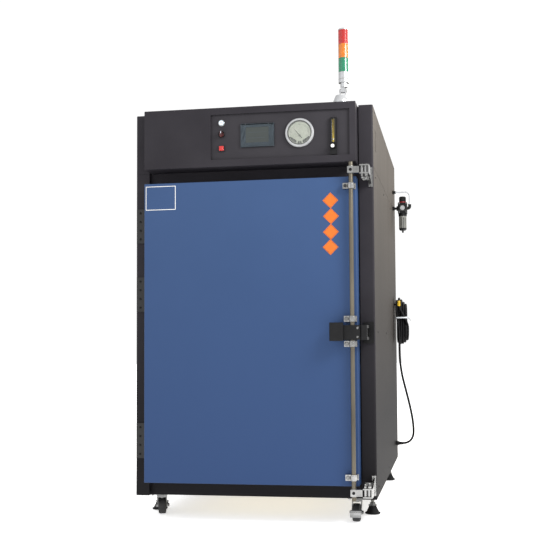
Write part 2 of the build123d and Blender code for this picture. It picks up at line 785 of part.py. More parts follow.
# Bar lock: guides on the door, the rod they carry, the clamped arms at its ends and the lever handle
rod_x = door_right - rod_from_edge
rod_y = door_front - rod_stand
handle_z = door_low + handle_from_bottom
guide_z = [door_low + 38, handle_z - 46, handle_z + 56, door_high - 43]
with BuildPart() as rod_guides:
    for z in guide_z:
        low, high = z - guide_height / 2, z + guide_height / 2
        block(rod_x - 34, rod_x + 18, door_front - 4, door_front, low, high)
        block(rod_x - 34, rod_x - 11, rod_y - 2, door_front, low, high)
        block(rod_x - 12, rod_x + 12, rod_y, door_front, low, high)
        with Locations((rod_x, rod_y, z)):
            Cylinder(rod_radius + 4, guide_height)
            Cylinder(rod_radius + running, guide_height, mode=Mode.SUBTRACT)
save(rod_guides, "rod_guides")

rod_length = door_height + 2 * rod_overrun
with BuildPart() as lock_rod:
    with Locations((rod_x, rod_y, door_low + door_height / 2)):
        Cylinder(rod_radius, rod_length)
    chamfer(lock_rod.edges().filter_by(GeomType.CIRCLE), 1.5)
save(lock_rod, "lock_rod")

arm_z = [door_low - arm_from_door, door_high + arm_from_door]
with BuildPart() as lock_arms:
    for z in arm_z:
        low, high = z - arm_height / 2, z + arm_height / 2
        block(rod_x - hub_half, rod_x + hub_half, rod_y - hub_half, rod_y + hub_half, low, high)
        block(rod_x, rod_x + arm_reach, rod_y - 10, rod_y + 10, low, high)
        with Locations((rod_x, rod_y, z)):
            Cylinder(rod_radius + running, arm_height, mode=Mode.SUBTRACT)
save(lock_arms, "lock_arms")

plate_back = rod_y - 9
with BuildPart() as lock_handle:
    with Locations((rod_x, rod_y, handle_z)):
        Cylinder(hub_half, handle_height)
    block(rod_x - grip_start, rod_x + handle_reach, plate_back - plate_thickness, plate_back,
          handle_z - handle_height / 2, handle_z + handle_height / 2)
    chamfer(lock_handle.edges().filter_by(Axis.Z).sort_by_distance((rod_x + handle_reach,
            plate_back - plate_thickness, handle_z))[0], 3)
    with Locations((rod_x, rod_y, handle_z)):
        Cylinder(rod_radius + running, handle_height, mode=Mode.SUBTRACT)
    block(rod_x - grip_reach, rod_x - grip_start, rod_y - 38, rod_y - 38 + grip_thickness,
          handle_z - handle_height / 2 - 4, handle_z - handle_height / 2 - 4 + grip_height)
    chamfer(lock_handle.edges().group_by(Axis.Y)[0], 3)
save(lock_handle, "lock_handle")

# Keepers on the post: base plate, two cheeks joined by a web, rollers on bolts with nuts towards the door
keeper_x = rod_x + arm_reach + 2.3
keeper_web = keeper_x + keeper_width
roller_radius = 7
with BuildPart() as keepers:
    for z, toward in zip(arm_z, (1, -1)):
        block(keeper_x, right - 3, front - 4, front, z - keeper_half - 8, z + keeper_half + 8)
        block(keeper_x, keeper_web, front - keeper_depth, front - 4, z - keeper_half, z - keeper_half + 5)
        block(keeper_x, keeper_web, front - keeper_depth, front - 4, z + keeper_half - 5, z + keeper_half)
        block(keeper_web - 5, keeper_web, front - keeper_depth, front - 4, z - keeper_half, z + keeper_half)
        for x, reach in ((keeper_x + 9, 18), (keeper_x + 25, 22)):
            with Locations((x, rod_y, z)):
                Cylinder(roller_radius, 2 * keeper_half - 10)
            with Locations((x, rod_y, z + toward * (keeper_half + reach / 2))):
                Cylinder(4, reach)
            with BuildSketch(level(z + toward * (keeper_half + 8))):
                with Locations((x, rod_y)):
                    RegularPolygon(6.5, 6, major_radius=False)
            extrude(amount=-toward * 8)
            with Locations((x, rod_y, z - toward * (keeper_half + 2))):
                Cylinder(6.5, 4)
        with BuildSketch(facing_right(keeper_web - 5)):
            with BuildLine():
                Polyline((front, z + toward * keeper_half), (front - 84, z + toward * keeper_half),
                         (front, z + toward * (keeper_half + 30)), close=True)
            make_face()
        extrude(amount=5)
        block(keeper_web - 12, right - 3, front - 4, front, *sorted((z, z + toward * (keeper_half + 36))))
save(keepers, "keepers")

catch_x = rod_x + handle_reach + 2.5
with BuildPart() as handle_catch:
    block(catch_x, catch_x + 25, plate_back - plate_thickness, front - 5,
          handle_z - handle_height / 2, handle_z + handle_height / 2)
    fillet(handle_catch.faces().sort_by(Axis.Y)[0].edges().filter_by(Axis.Z), 3)
    block(catch_x + 5, catch_x + 25, plate_back + 6, front - 24,
          handle_z - handle_height / 2 + 12, handle_z + handle_height / 2 - 12, mode=Mode.SUBTRACT)
    block(catch_x, right - 4, front - 5, front,
          handle_z - handle_height / 2 - 14, handle_z + handle_height / 2 + 14)
save(handle_catch, "handle_catch")

# Castors: a plane standing in a castor's own direction, its origin on the swivel axis under the frame
plate_thick = 3
axle_drop = castor_height - wheel_radius
axle_radius = 5
fork_half = wheel_width / 2 + 1.5
fork_sheet = 3
castor_x = [left + castor_inset_x, right - castor_inset_x]
castor_front_y = front + castor_inset_y
castor_back_y = back - castor_inset_y
kingpin_radius = 6


def castor_side(x, y, angle, offset):
    way = Vector(cos(radians(angle)), sin(radians(angle)), 0)
    across = Vector(sin(radians(angle)), -cos(radians(angle)), 0)
    return Plane(origin=Vector(x, y, under) + across * offset, x_dir=way, z_dir=across)


# Two fork cheeks, a bridge over the wheel and the axle, in the castor's side plane
def fork(x, y, angle, trail, bridge_low, bridge_high):
    for offset in (-fork_half - fork_sheet, fork_half):
        with BuildSketch(castor_side(x, y, angle, offset)) as cheek:
            with BuildLine():
                Polyline((-20, bridge_high), (28, bridge_high), (trail + 9, -axle_drop),
                         (trail + 5, -axle_drop - 8), (trail - 5, -axle_drop - 8),
                         (trail - 11, -axle_drop + 4), (-20, bridge_low), close=True)
            make_face()
        extrude(cheek.sketch, amount=fork_sheet)
    with BuildSketch(castor_side(x, y, angle, -fork_half)) as bridge:
        with Locations((4, (bridge_low + bridge_high) / 2)):
            Rectangle(48, bridge_high - bridge_low)
    extrude(bridge.sketch, amount=2 * fork_half)
    with BuildSketch(castor_side(x, y, angle, -fork_half - fork_sheet - 5)) as axle:
        with Locations((trail, -axle_drop)):
            Circle(axle_radius)
    extrude(axle.sketch, amount=2 * (fork_half + fork_sheet + 5))


def swivel_fork(x, y, angle):
    fork(x, y, angle, castor_trail, -18, -11)
    with Locations((x, y, under - 11 + (11 - plate_thick - fit_gap) / 2)):
        Cylinder(24, 11 - plate_thick - fit_gap)
    with Locations((x, y, under - 12)):
        Cylinder(kingpin_radius + running, 30, mode=Mode.SUBTRACT)


def tyred_wheel(x, y, angle, trail):
    with BuildSketch(castor_side(x, y, angle, -wheel_width / 2)) as disc:
        with Locations((trail, -axle_drop)):
            Circle(wheel_radius)
            Circle(axle_radius + running, mode=Mode.SUBTRACT)
    extrude(disc.sketch, amount=wheel_width)


def save_wheel(builder, name):
    rims = builder.edges().filter_by(GeomType.CIRCLE).sort_by(SortBy.RADIUS)[-2:]
    chamfer(rims, 4)
    save(builder, name)


with BuildPart() as caster_mounts:
    for x in castor_x:
        with BuildSketch(level(under)):
            with Locations((x, castor_front_y)):
                RectangleRounded(76, 95, 6)
            with Locations((x, castor_back_y)):
                RectangleRounded(76, 95, 6)
        extrude(amount=-plate_thick)
        with Locations((x, castor_front_y, under - plate_thick - 10)):
            Cylinder(kingpin_radius, 20)
        with Locations((x, castor_front_y, under - 20.5)):
            Cylinder(kingpin_radius + 4, 4)
        fork(x, castor_back_y, 90, 0, -12, -plate_thick)
save(caster_mounts, "caster_mounts")

with BuildPart() as front_left_fork:
    swivel_fork(castor_x[0], castor_front_y, left_castor_angle)
save(front_left_fork, "front_left_fork")

with BuildPart() as front_right_fork:
    swivel_fork(castor_x[1], castor_front_y, right_castor_angle)
save(front_right_fork, "front_right_fork")

with BuildPart() as front_left_wheel:
    tyred_wheel(castor_x[0], castor_front_y, left_castor_angle, castor_trail)
    save_wheel(front_left_wheel, "front_left_wheel")

with BuildPart() as front_right_wheel:
    tyred_wheel(castor_x[1], castor_front_y, right_castor_angle, castor_trail)
    save_wheel(front_right_wheel, "front_right_wheel")

with BuildPart() as rear_left_wheel:
    tyred_wheel(castor_x[0], castor_back_y, 90, 0)
    save_wheel(rear_left_wheel, "rear_left_wheel")

with BuildPart() as rear_right_wheel:
    tyred_wheel(castor_x[1], castor_back_y, 90, 0)
    save_wheel(rear_right_wheel, "rear_right_wheel")

# Brake pedals: a shoe concentric with the wheel, carried by two arms on the axle ends
pedal_inner = wheel_radius + 3
pedal_thick = 3
pedal_up = 18
pedal_down = 20
pedal_arm = fork_half + fork_sheet + 0.5


def pedal(x, y, angle):
    axle = (castor_trail, -axle_drop)
    with BuildSketch(castor_side(x, y, angle, -pedal_arm - pedal_thick)) as shoe:
        with BuildLine():
            inner = CenterArc(axle, pedal_inner, -pedal_down, pedal_up + pedal_down)
            outer = CenterArc(axle, pedal_inner + pedal_thick, -pedal_down, pedal_up + pedal_down)
            Line(inner @ 0, outer @ 0)
            Line(inner @ 1, outer @ 1)
        make_face()
    extrude(shoe.sketch, amount=2 * (pedal_arm + pedal_thick))
    for offset in (-pedal_arm - pedal_thick, pedal_arm):
        with BuildSketch(castor_side(x, y, angle, offset)) as arm:
            with Locations(axle):
                Circle(9)
                with Locations(((pedal_inner + 2) / 2, 0)):
                    Rectangle(pedal_inner + 2, 15)
                Circle(axle_radius + running, mode=Mode.SUBTRACT)
        extrude(arm.sketch, amount=pedal_thick)


with BuildPart() as left_brake_pedal:
    pedal(castor_x[0], castor_front_y, left_castor_angle)
save(left_brake_pedal, "left_brake_pedal")

with BuildPart() as right_brake_pedal:
    pedal(castor_x[1], castor_front_y, right_castor_angle)
save(right_brake_pedal, "right_brake_pedal")

# Levelling feet: rubber bell, nut and stem, held a little above the floor
bell_height = 31


def levelling_foot(x, y):
    up = (Align.CENTER, Align.CENTER, Align.MIN)
    with Locations((x, y, foot_floor_gap)):
        Cylinder(foot_radius, 5, align=up)
    with Locations((x, y, foot_floor_gap + 5)):
        Cone(foot_radius - 4, 15, bell_height, align=up)
    with BuildSketch(level(foot_floor_gap + 5 + bell_height)) as nut:
        with Locations((x, y)):
            RegularPolygon(12, 6, major_radius=False)
    extrude(nut.sketch, amount=10)
    with Locations((x, y, foot_floor_gap + 5 + bell_height)):
        Cylinder(foot_stem_radius, under + 40 - foot_floor_gap - 5 - bell_height, align=up)


with BuildPart() as front_left_foot:
    levelling_foot(foot_x[0], foot_y[0])
save(front_left_foot, "front_left_foot")

with BuildPart() as front_right_foot:
    levelling_foot(foot_x[1], foot_y[0])
save(front_right_foot, "front_right_foot")

with BuildPart() as rear_left_foot:
    levelling_foot(foot_x[0], foot_y[1])
save(rear_left_foot, "rear_left_foot")

with BuildPart() as rear_right_foot:
    levelling_foot(foot_x[1], foot_y[1])
save(rear_right_foot, "rear_right_foot")

# Filter regulator beside the right panel: body on two port pipes, knob above, bowl below
body_x = right + regulator_stand
half_body = regulator_body_width / 2
knob_radius = 19
bowl_radius = 21
bonnet_low = regulator_z + 30
with BuildPart() as regulator_body:
    block(body_x - half_body, body_x + half_body, regulator_y - half_body, regulator_y + half_body,
          regulator_z - 30, bonnet_low)
    fillet(regulator_body.edges().filter_by(Axis.Z), 5)
    with BuildSketch(facing_right(right - 6)):
        with Locations((regulator_y, regulator_z)):
            Circle(port_radius - fit_gap)
    extrude(amount=regulator_stand - half_body + 6)
    with BuildSketch(facing_right(right)):
        with Locations((regulator_y, regulator_z)):
            RegularPolygon(12, 6)
    extrude(amount=12)
    with Locations((body_x, regulator_y, bonnet_low + 8)):
        Cylinder(7, 20)
save(regulator_body, "regulator_body")

with BuildPart() as regulator_knob:
    with Locations((body_x, regulator_y, bonnet_low + fit_gap + 17)):
        Cylinder(knob_radius, 34)
    chamfer(regulator_knob.faces().sort_by(Axis.Z)[-1].edges(), 2.5)
    with Locations((body_x, regulator_y, bonnet_low + fit_gap + 9.5)):
        Cylinder(7 + running, 19, mode=Mode.SUBTRACT)
save(regulator_knob, "regulator_knob")

with BuildPart() as regulator_bowl:
    with Locations((body_x, regulator_y, regulator_z - 30 - fit_gap - 7)):
        Cylinder(bowl_radius + 2, 14)
    with Locations((body_x, regulator_y, regulator_z - 30 - fit_gap - 14 - 40)):
        Cylinder(bowl_radius, 80)
    chamfer(regulator_bowl.faces().sort_by(Axis.Z)[0].edges(), 7)
    with BuildSketch(level(regulator_z - 30 - fit_gap - 78)) as bowl_slots:
        with Locations((body_x, regulator_y)):
            with PolarLocations(bowl_radius, 10):
                Rectangle(3, 5)
    extrude(bowl_slots.sketch, amount=54, mode=Mode.SUBTRACT)
    with Locations((body_x, regulator_y, regulator_z - 30 - fit_gap - 94 - 5)):
        Cylinder(5, 12)
save(regulator_bowl, "regulator_bowl")

# Air line: elbow on the outer port, tube up and over, and the fitting in the panel
line_x = right + line_axis
with BuildPart() as air_line:
    with BuildSketch(facing_right(body_x + half_body + fit_gap)):
        with Locations((regulator_y, regulator_z)):
            Circle(9)
    extrude(amount=line_x - body_x - half_body - fit_gap)
    with Locations((line_x, regulator_y, regulator_z)):
        Sphere(9)
    with Locations((line_x, regulator_y, regulator_z + 11)):
        Cylinder(8, 22)
    with BuildLine() as line_path:
        FilletPolyline((line_x, regulator_y, regulator_z + 10), (line_x, regulator_y, line_top),
                       (right + 10, regulator_y, line_top), radius=line_bend)
    with BuildSketch(level(regulator_z + 10)):
        with Locations((line_x, regulator_y)):
            Circle(line_radius)
    sweep(path=line_path.wires()[0])
    with BuildSketch(facing_right(right)):
        with Locations((regulator_y, line_top)):
            RegularPolygon(10, 6)
    extrude(amount=18)
    with BuildSketch(facing_right(right - 6)):
        with Locations((regulator_y, line_top)):
            Circle(port_radius - fit_gap)
    extrude(amount=8)
save(air_line, "air_line")

# Tower light on the header: dome with two ears, and the column that folds back on their pin
column_x = door_right - tower_from_edge
column_y = front - tower_stand
ear_gap = 8.5
tower_pivot = header_high + tower_pivot_rise
with BuildPart() as tower_base:
    with Locations((column_x - 11, column_y, header_high)):
        Cylinder(34, 12, align=(Align.CENTER, Align.CENTER, Align.MIN))
    with Locations((column_x - 11, column_y, header_high + 12)):
        Cone(34, 25, 22, align=(Align.CENTER, Align.CENTER, Align.MIN))
    for side in (-1, 1):
        with BuildSketch(facing_right(column_x - 4 + side * (ear_gap + 2.5) - 2.5)):
            with Locations((column_y, header_high + (tower_pivot_rise + 30) / 2)):
                Rectangle(20, tower_pivot_rise - 30)
            with Locations((column_y, tower_pivot)):
                Circle(10)
        extrude(amount=5)
    with BuildSketch(facing_right(column_x - 4 - ear_gap - 1)):
        with Locations((column_y, tower_pivot)):
            Circle(4)
    extrude(amount=2 * ear_gap + 2)
save(tower_base, "tower_base")

housing_low = header_high + housing_rise
lens_low = housing_low + housing_height
cap_low = lens_low + 3 * lens_height
with BuildPart() as tower_column:
    with BuildSketch(facing_right(column_x - 4 - ear_gap + fit_gap)):
        with Locations((column_y, tower_pivot)):
            Circle(9)
        with Locations((column_y, tower_pivot + 9)):
            Rectangle(18, 18)
    extrude(amount=2 * (ear_gap - fit_gap))
    with Locations((column_x, column_y, tower_pivot + 16)):
        Cylinder(15, housing_low - tower_pivot - 16, align=(Align.CENTER, Align.CENTER, Align.MIN))
    with Locations((column_x, column_y, housing_low)):
        Cylinder(tower_radius, lens_low - housing_low, align=(Align.CENTER, Align.CENTER, Align.MIN))
        Cylinder(6, cap_low - housing_low, align=(Align.CENTER, Align.CENTER, Align.MIN))
    with Locations((column_x, column_y, cap_low + fit_gap)):
        Cylinder(tower_radius, 6, align=(Align.CENTER, Align.CENTER, Align.MIN))
    chamfer(tower_column.faces().sort_by(Axis.Z)[-1].edges(), 2)
    with Locations((column_x, column_y, cap_low)):
        Cylinder(6, 2, align=(Align.CENTER, Align.CENTER, Align.MIN))
    with BuildSketch(facing_right(column_x - 30)):
        with Locations((column_y, tower_pivot)):
            Circle(4 + running)
    extrude(amount=60, mode=Mode.SUBTRACT)
save(tower_column, "tower_column")


def lens(tier):
    with Locations((column_x, column_y, lens_low + tier * lens_height)):
        Cylinder(tower_radius, lens_height, align=(Align.CENTER, Align.CENTER, Align.MIN))
        Cylinder(tower_radius - 3, lens_height, align=(Align.CENTER, Align.CENTER, Align.MIN),
                 mode=Mode.SUBTRACT)


with BuildPart() as lens_green:
    lens(0)
save(lens_green, "lens_green")

with BuildPart() as lens_amber:
    lens(1)
save(lens_amber, "lens_amber")

with BuildPart() as lens_red:
    lens(2)
save(lens_red, "lens_red")

# Power cable in one plane beside the panel: gland, cable, the tied hank on its hook and the end cap
gland_reach = 20
with BuildPart() as cable_gland:
    with BuildSketch(facing_right(right)):
        with Locations((gland_y, gland_z)):
            RegularPolygon(13, 6)
    extrude(amount=8)
    with BuildSketch(facing_right(right + 8)):
        with Locations((gland_y, gland_z)):
            Circle(11)
    extrude(amount=gland_reach - 8, taper=8)
    with BuildSketch(facing_right(right - 8)):
        with Locations((gland_y, gland_z)):
            Circle(9 - fit_gap)
    extrude(amount=8)
save(cable_gland, "cable_gland")

# Distance from the panel and height above the underside, from the gland up to the hank
cable_route = [(gland_reach, gland_height), (47, 98), (74, 110), (92, 133), (98, 162), (97, 195), (93, 235),
               (80, 300), (58, 392), (33, 480), (25, 545), (31, 595), (37.7, 628.6)]
cable_points = [Vector(right + out, gland_y, under + up) for out, up in cable_route]


# Bend radii that leave a straight piece between neighbouring bends
def bend_radii(points):
    radii = []
    for before, at, after in zip(points, points[1:], points[2:]):
        run_in = at - before
        run_out = after - at
        half_turn = radians(run_in.get_angle(run_out)) / 2
        radii.append(0.45 * min(run_in.length, run_out.length) / tan(half_turn))
    return radii


cable_radii = bend_radii(cable_points)
print("power cable bend radii in diameters:", [round(r / (2 * cable_radius), 2) for r in cable_radii])
with BuildPart() as power_cable:
    with BuildLine() as cable_line:
        FilletPolyline(*cable_points, radius=cable_radii)
    with BuildSketch(facing_right(right + gland_reach)):
        with Locations((gland_y, gland_z)):
            Circle(cable_radius)
    sweep(path=cable_line.wires()[0])
save(power_cable, "power_cable")

hank_half = 55
hank_outline = [(10, 880), (27, 904), (85, 842), (87, 697), (80, 650), (48, 630), (26, 630), (10, 650)]
with BuildPart() as cable_hank:
    with BuildSketch(facing_front(gland_y + hank_half)):
        with BuildLine():
            Polyline(*[(right + out, under + up) for out, up in hank_outline], close=True)
        make_face()
    extrude(amount=2 * hank_half)
    with BuildSketch(facing_right(right)):
        with Locations((gland_y, hook_z)):
            Circle(hook_radius + fit_gap)
    extrude(amount=hook_reach + fit_gap, mode=Mode.SUBTRACT)
save(cable_hank, "cable_hank")

cap_radius = 8
with BuildPart() as cable_end:
    with Locations((right + 30, gland_y - hank_half - cap_radius - fit_gap, under + 861)):
        Cylinder(cap_radius, 30)
    chamfer(cable_end.faces().sort_by(Axis.Z)[-1].edges(), 3)
save(cable_end, "cable_end")
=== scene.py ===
import bpy
import math
import numpy as np
from mathutils import Matrix, Vector


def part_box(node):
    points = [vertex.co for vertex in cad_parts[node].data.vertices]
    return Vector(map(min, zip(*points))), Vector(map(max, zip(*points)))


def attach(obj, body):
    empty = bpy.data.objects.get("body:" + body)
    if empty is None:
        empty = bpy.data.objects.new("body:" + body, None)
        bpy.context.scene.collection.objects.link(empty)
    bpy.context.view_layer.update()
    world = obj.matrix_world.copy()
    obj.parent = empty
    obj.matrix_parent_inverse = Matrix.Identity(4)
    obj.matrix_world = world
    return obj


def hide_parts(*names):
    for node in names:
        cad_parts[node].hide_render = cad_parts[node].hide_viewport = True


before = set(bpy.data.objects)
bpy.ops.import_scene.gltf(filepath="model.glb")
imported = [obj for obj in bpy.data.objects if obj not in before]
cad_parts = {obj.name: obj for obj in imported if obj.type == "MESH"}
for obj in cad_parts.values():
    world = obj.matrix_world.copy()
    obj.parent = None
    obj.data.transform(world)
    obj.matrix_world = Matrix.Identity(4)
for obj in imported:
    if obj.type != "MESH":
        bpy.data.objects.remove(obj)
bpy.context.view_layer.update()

# Cabinet place: middle of the front frame across, its front face in depth, its underside in height
frameLow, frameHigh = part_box("front_frame")
middleX = (frameLow.x + frameHigh.x) / 2
frontY = frameLow.y
underZ = frameLow.z


# Row-frame point: cabinet millimetres divided by 1000, added to the cabinet's place
def spot(x, y, z):
    return (middleX + x / 1000, frontY + y / 1000, underZ + z / 1000)


# Linear colour: each sRGB channel c becomes c/12.92 below 0.04, else ((c+0.055)/1.055)^2.4
def shade(hexText):
    channels = []
    for i in (0, 2, 4):
        c = int(hexText[i:i + 2], 16) / 255
        channels.append(c / 12.92 if c <= 0.04045 else ((c + 0.055) / 1.055) ** 2.4)
    return (*channels, 1.0)


# New shader node at a place, with the given input values
def addNode(tree, kind, x, y, **values):
    made = tree.nodes.new(kind)
    made.location = (x, y)
    for name, value in values.items():
        made.inputs[name.replace("_", " ")].default_value = value
    return made


finishes = {}


# Finish: colour = noise mix of colour and tone, and below a height a mix towards low, a painted shade that
# darkens the colour towards the bottom;
# roughness = mean + spread * grain noise; bump height = grain noise
def makeFinish(name, look):
    material = bpy.data.materials.new(name)
    material.use_nodes = True
    tree = material.node_tree
    tree.nodes.clear()
    out = addNode(tree, "ShaderNodeOutputMaterial", 900, 0)
    shader = addNode(tree, "ShaderNodeBsdfPrincipled", 600, 0)
    tree.links.new(shader.outputs["BSDF"], out.inputs["Surface"])
    place = addNode(tree, "ShaderNodeTexCoord", -900, 0)
    mapping = addNode(tree, "ShaderNodeMapping", -700, 0)
    mapping.inputs["Scale"].default_value = look.get("stretch", (1, 1, 1))
    tree.links.new(place.outputs["Object"], mapping.inputs["Vector"])
    mottle = addNode(tree, "ShaderNodeTexNoise", -450, 250, Scale=look.get("mottle", 3.0), Detail=6.0,
                     Roughness=0.6)
    tree.links.new(mapping.outputs["Vector"], mottle.inputs["Vector"])
    spread = addNode(tree, "ShaderNodeMapRange", -250, 250, From_Min=0.3, From_Max=0.7)
    tree.links.new(mottle.outputs["Fac"], spread.inputs["Value"])
    blend = tree.nodes.new("ShaderNodeMix")
    blend.data_type = "RGBA"
    blend.location = (0, 250)
    blend.inputs["A"].default_value = shade(look["colour"])
    blend.inputs["B"].default_value = shade(look.get("tone", look["colour"]))
    tree.links.new(spread.outputs["Result"], blend.inputs["Factor"])
    surface = blend.outputs["Result"]
    # Painted shade: between the two given heights the colour is mixed towards the darker low colour, so the
    # surface is darker towards the bottom
    if look.get("low"):
        parts = addNode(tree, "ShaderNodeSeparateXYZ", -450, 480)
        tree.links.new(place.outputs["Object"], parts.inputs["Vector"])
        rise = addNode(tree, "ShaderNodeMapRange", -250, 480, From_Min=look["paintedShadeFade"][0],
                       From_Max=look["paintedShadeFade"][1])
        tree.links.new(parts.outputs["Z"], rise.inputs["Value"])
        paintedShadeFade = tree.nodes.new("ShaderNodeMix")
        paintedShadeFade.data_type = "RGBA"
        paintedShadeFade.location = (250, 350)
        paintedShadeFade.inputs["A"].default_value = shade(look["low"])
        tree.links.new(rise.outputs["Result"], paintedShadeFade.inputs["Factor"])
        tree.links.new(surface, paintedShadeFade.inputs["B"])
        surface = paintedShadeFade.outputs["Result"]
    tree.links.new(surface, shader.inputs["Base Color"])
    grain = addNode(tree, "ShaderNodeTexNoise", -450, -150, Scale=look.get("grain", 600.0), Detail=3.0)
    tree.links.new(mapping.outputs["Vector"], grain.inputs["Vector"])
    rough = look.get("roughness", 0.5)
    ranged = addNode(tree, "ShaderNodeMapRange", 0, -50, From_Min=0.25, From_Max=0.75,
                     To_Min=max(0.0, rough - look.get("spread", 0.06)),
                     To_Max=min(1.0, rough + look.get("spread", 0.06)))
    tree.links.new(grain.outputs["Fac"], ranged.inputs["Value"])
    tree.links.new(ranged.outputs["Result"], shader.inputs["Roughness"])
    bump = addNode(tree, "ShaderNodeBump", 250, -250, Strength=look.get("relief", 0.25),
                   Distance=look.get("height", 0.0004))
    tree.links.new(grain.outputs["Fac"], bump.inputs["Height"])
    tree.links.new(bump.outputs["Normal"], shader.inputs["Normal"])
    shader.inputs["Metallic"].default_value = look.get("metallic", 0.0)
    shader.inputs["Coat Weight"].default_value = look.get("coat", 0.0)
    shader.inputs["Transmission Weight"].default_value = look.get("clear", 0.0)
    shader.inputs["IOR"].default_value = look.get("ior", 1.5)
    shader.inputs["Specular IOR Level"].default_value = look.get("specular", 0.5)
    shader.inputs["Emission Strength"].default_value = look.get("glow", 0.0)
    if look.get("glow"):
        shader.inputs["Emission Color"].default_value = shade(look["colour"])
    finishes[name] = material


# Front grey paint; its low colour is painted shade, darker towards the floor from 1.0 m down to 0.05 m in
# height
makeFinish("paintGrey", {"colour": "2f2d31", "tone": "29272b", "low": "171618", "paintedShadeFade": (0.05, 1.0),
            "mottle": 5.0, "grain": 900.0, "roughness": 0.62, "relief": 0.35, "height": 0.0003,
            "specular": 0.1})
makeFinish("paintPlate", {"colour": "2f2d31", "tone": "29272b", "mottle": 6.0, "grain": 900.0,
            "roughness": 0.6, "relief": 0.3, "height": 0.0003, "specular": 0.2})
# Side panel paint: lighter and warmer than the front grey as a painted sheen of grazing light, and its low
# colour a painted shade darker towards the bottom
makeFinish("paintSideSheenAndShade", {"colour": "534e49", "tone": "4a4641", "low": "1e1d1e", "paintedShadeFade": (0.4, 1.6),
            "mottle": 1.4, "stretch": (1, 6, 0.5), "grain": 500.0, "roughness": 0.6, "spread": 0.08,
            "relief": 0.25, "height": 0.0003, "specular": 0.04})
# Door blue; its low colour is painted shade, a little darker towards the bottom
makeFinish("paintDoor", {"colour": "334a6f", "tone": "2f466a", "low": "263e66", "paintedShadeFade": (0.1, 1.6),
            "mottle": 2.0, "grain": 900.0, "roughness": 0.5, "relief": 0.35, "height": 0.0003,
            "specular": 0.22})
makeFinish("stainless", {"colour": "bcbcb9", "tone": "b0b0ad", "mottle": 4.0, "stretch": (1, 1, 14),
            "grain": 260.0, "roughness": 0.32, "metallic": 1.0, "relief": 0.15, "height": 0.0001})
makeFinish("zinc", {"colour": "8b8b8a", "tone": "6d6d6c", "mottle": 30.0, "grain": 700.0,
            "roughness": 0.34, "metallic": 1.0, "relief": 0.15, "height": 0.0001})
makeFinish("chrome", {"colour": "a9a9a8", "tone": "858584", "mottle": 24.0, "grain": 500.0,
            "roughness": 0.16, "metallic": 1.0, "relief": 0.06, "height": 0.0001})
makeFinish("yellowZinc", {"colour": "6e685b", "tone": "565147", "mottle": 18.0, "stretch": (1, 1, 0.2),
            "grain": 500.0, "roughness": 0.4, "metallic": 0.75, "relief": 0.2, "height": 0.0001})
makeFinish("silver", {"colour": "b9babb", "tone": "a6a7a9", "mottle": 20.0, "grain": 800.0,
            "roughness": 0.35, "metallic": 0.6, "relief": 0.1, "height": 0.0001})
makeFinish("blackPlastic", {"colour": "0e0e0f", "tone": "151516", "mottle": 30.0, "grain": 1500.0,
            "roughness": 0.45, "relief": 0.25, "height": 0.0002, "specular": 0.2})
makeFinish("blackRubber", {"colour": "0e0e0f", "tone": "18181a", "mottle": 40.0, "grain": 1200.0,
            "roughness": 0.6, "relief": 0.3, "height": 0.0002, "specular": 0.15})
makeFinish("wheelRubber", {"colour": "151516", "tone": "242425", "mottle": 50.0, "grain": 900.0,
            "roughness": 0.66, "relief": 0.35, "height": 0.0003})
makeFinish("greyGuard", {"colour": "82827c", "tone": "71716c", "mottle": 30.0, "grain": 900.0,
            "roughness": 0.4, "relief": 0.2})
makeFinish("screenFrame", {"colour": "37424a", "tone": "313b42", "mottle": 20.0, "grain": 1500.0,
            "roughness": 0.45, "relief": 0.2, "height": 0.0001})
makeFinish("screenFace", {"colour": "2b3230", "tone": "262c2b", "mottle": 12.0, "grain": 200.0,
            "roughness": 0.2, "relief": 0.02, "coat": 0.4})
makeFinish("dialWhite", {"colour": "e8e6e2", "tone": "dedcd6", "mottle": 20.0, "grain": 900.0,
            "roughness": 0.5, "relief": 0.05})
makeFinish("inkBlack", {"colour": "0b0b0c", "tone": "131314", "mottle": 40.0, "grain": 900.0,
            "roughness": 0.55, "relief": 0.05})
makeFinish("wool", {"colour": "b8a668", "tone": "8f8050", "mottle": 14.0, "grain": 160.0,
            "roughness": 0.95, "relief": 0.9, "height": 0.004})
makeFinish("heatedSteel", {"colour": "7a6a5c", "tone": "5a4f4a", "mottle": 10.0, "grain": 400.0,
            "roughness": 0.4, "metallic": 0.9, "relief": 0.2})
makeFinish("castPaint", {"colour": "2f3e55", "tone": "273449", "mottle": 14.0, "grain": 300.0,
            "roughness": 0.5, "relief": 0.4, "height": 0.0006})
makeFinish("silicone", {"colour": "9c3527", "tone": "8a2c20", "mottle": 20.0, "grain": 500.0,
            "roughness": 0.55, "relief": 0.2})
makeFinish("redLens", {"colour": "b0201c", "tone": "9e1a17", "mottle": 40.0, "grain": 900.0,
            "roughness": 0.22, "coat": 0.5, "clear": 0.15, "relief": 0.05})
makeFinish("amberLens", {"colour": "cc7418", "tone": "bb6612", "mottle": 40.0, "grain": 900.0,
            "roughness": 0.22, "coat": 0.5, "clear": 0.15, "relief": 0.05})
makeFinish("greenLens", {"colour": "1c7f5c", "tone": "166c4d", "mottle": 40.0, "grain": 900.0,
            "roughness": 0.22, "coat": 0.5, "clear": 0.15, "relief": 0.05})
makeFinish("stopRed", {"colour": "bb2420", "tone": "a61d1a", "mottle": 60.0, "grain": 900.0,
            "roughness": 0.28, "coat": 0.4, "relief": 0.05})
makeFinish("selectorRed", {"colour": "4a1516", "tone": "2c0d0e", "mottle": 60.0, "grain": 900.0,
            "roughness": 0.4, "relief": 0.1})
makeFinish("buttonWhite", {"colour": "dfeaf2", "tone": "bcd0de", "mottle": 60.0, "grain": 900.0,
            "roughness": 0.25, "coat": 0.5, "relief": 0.05})
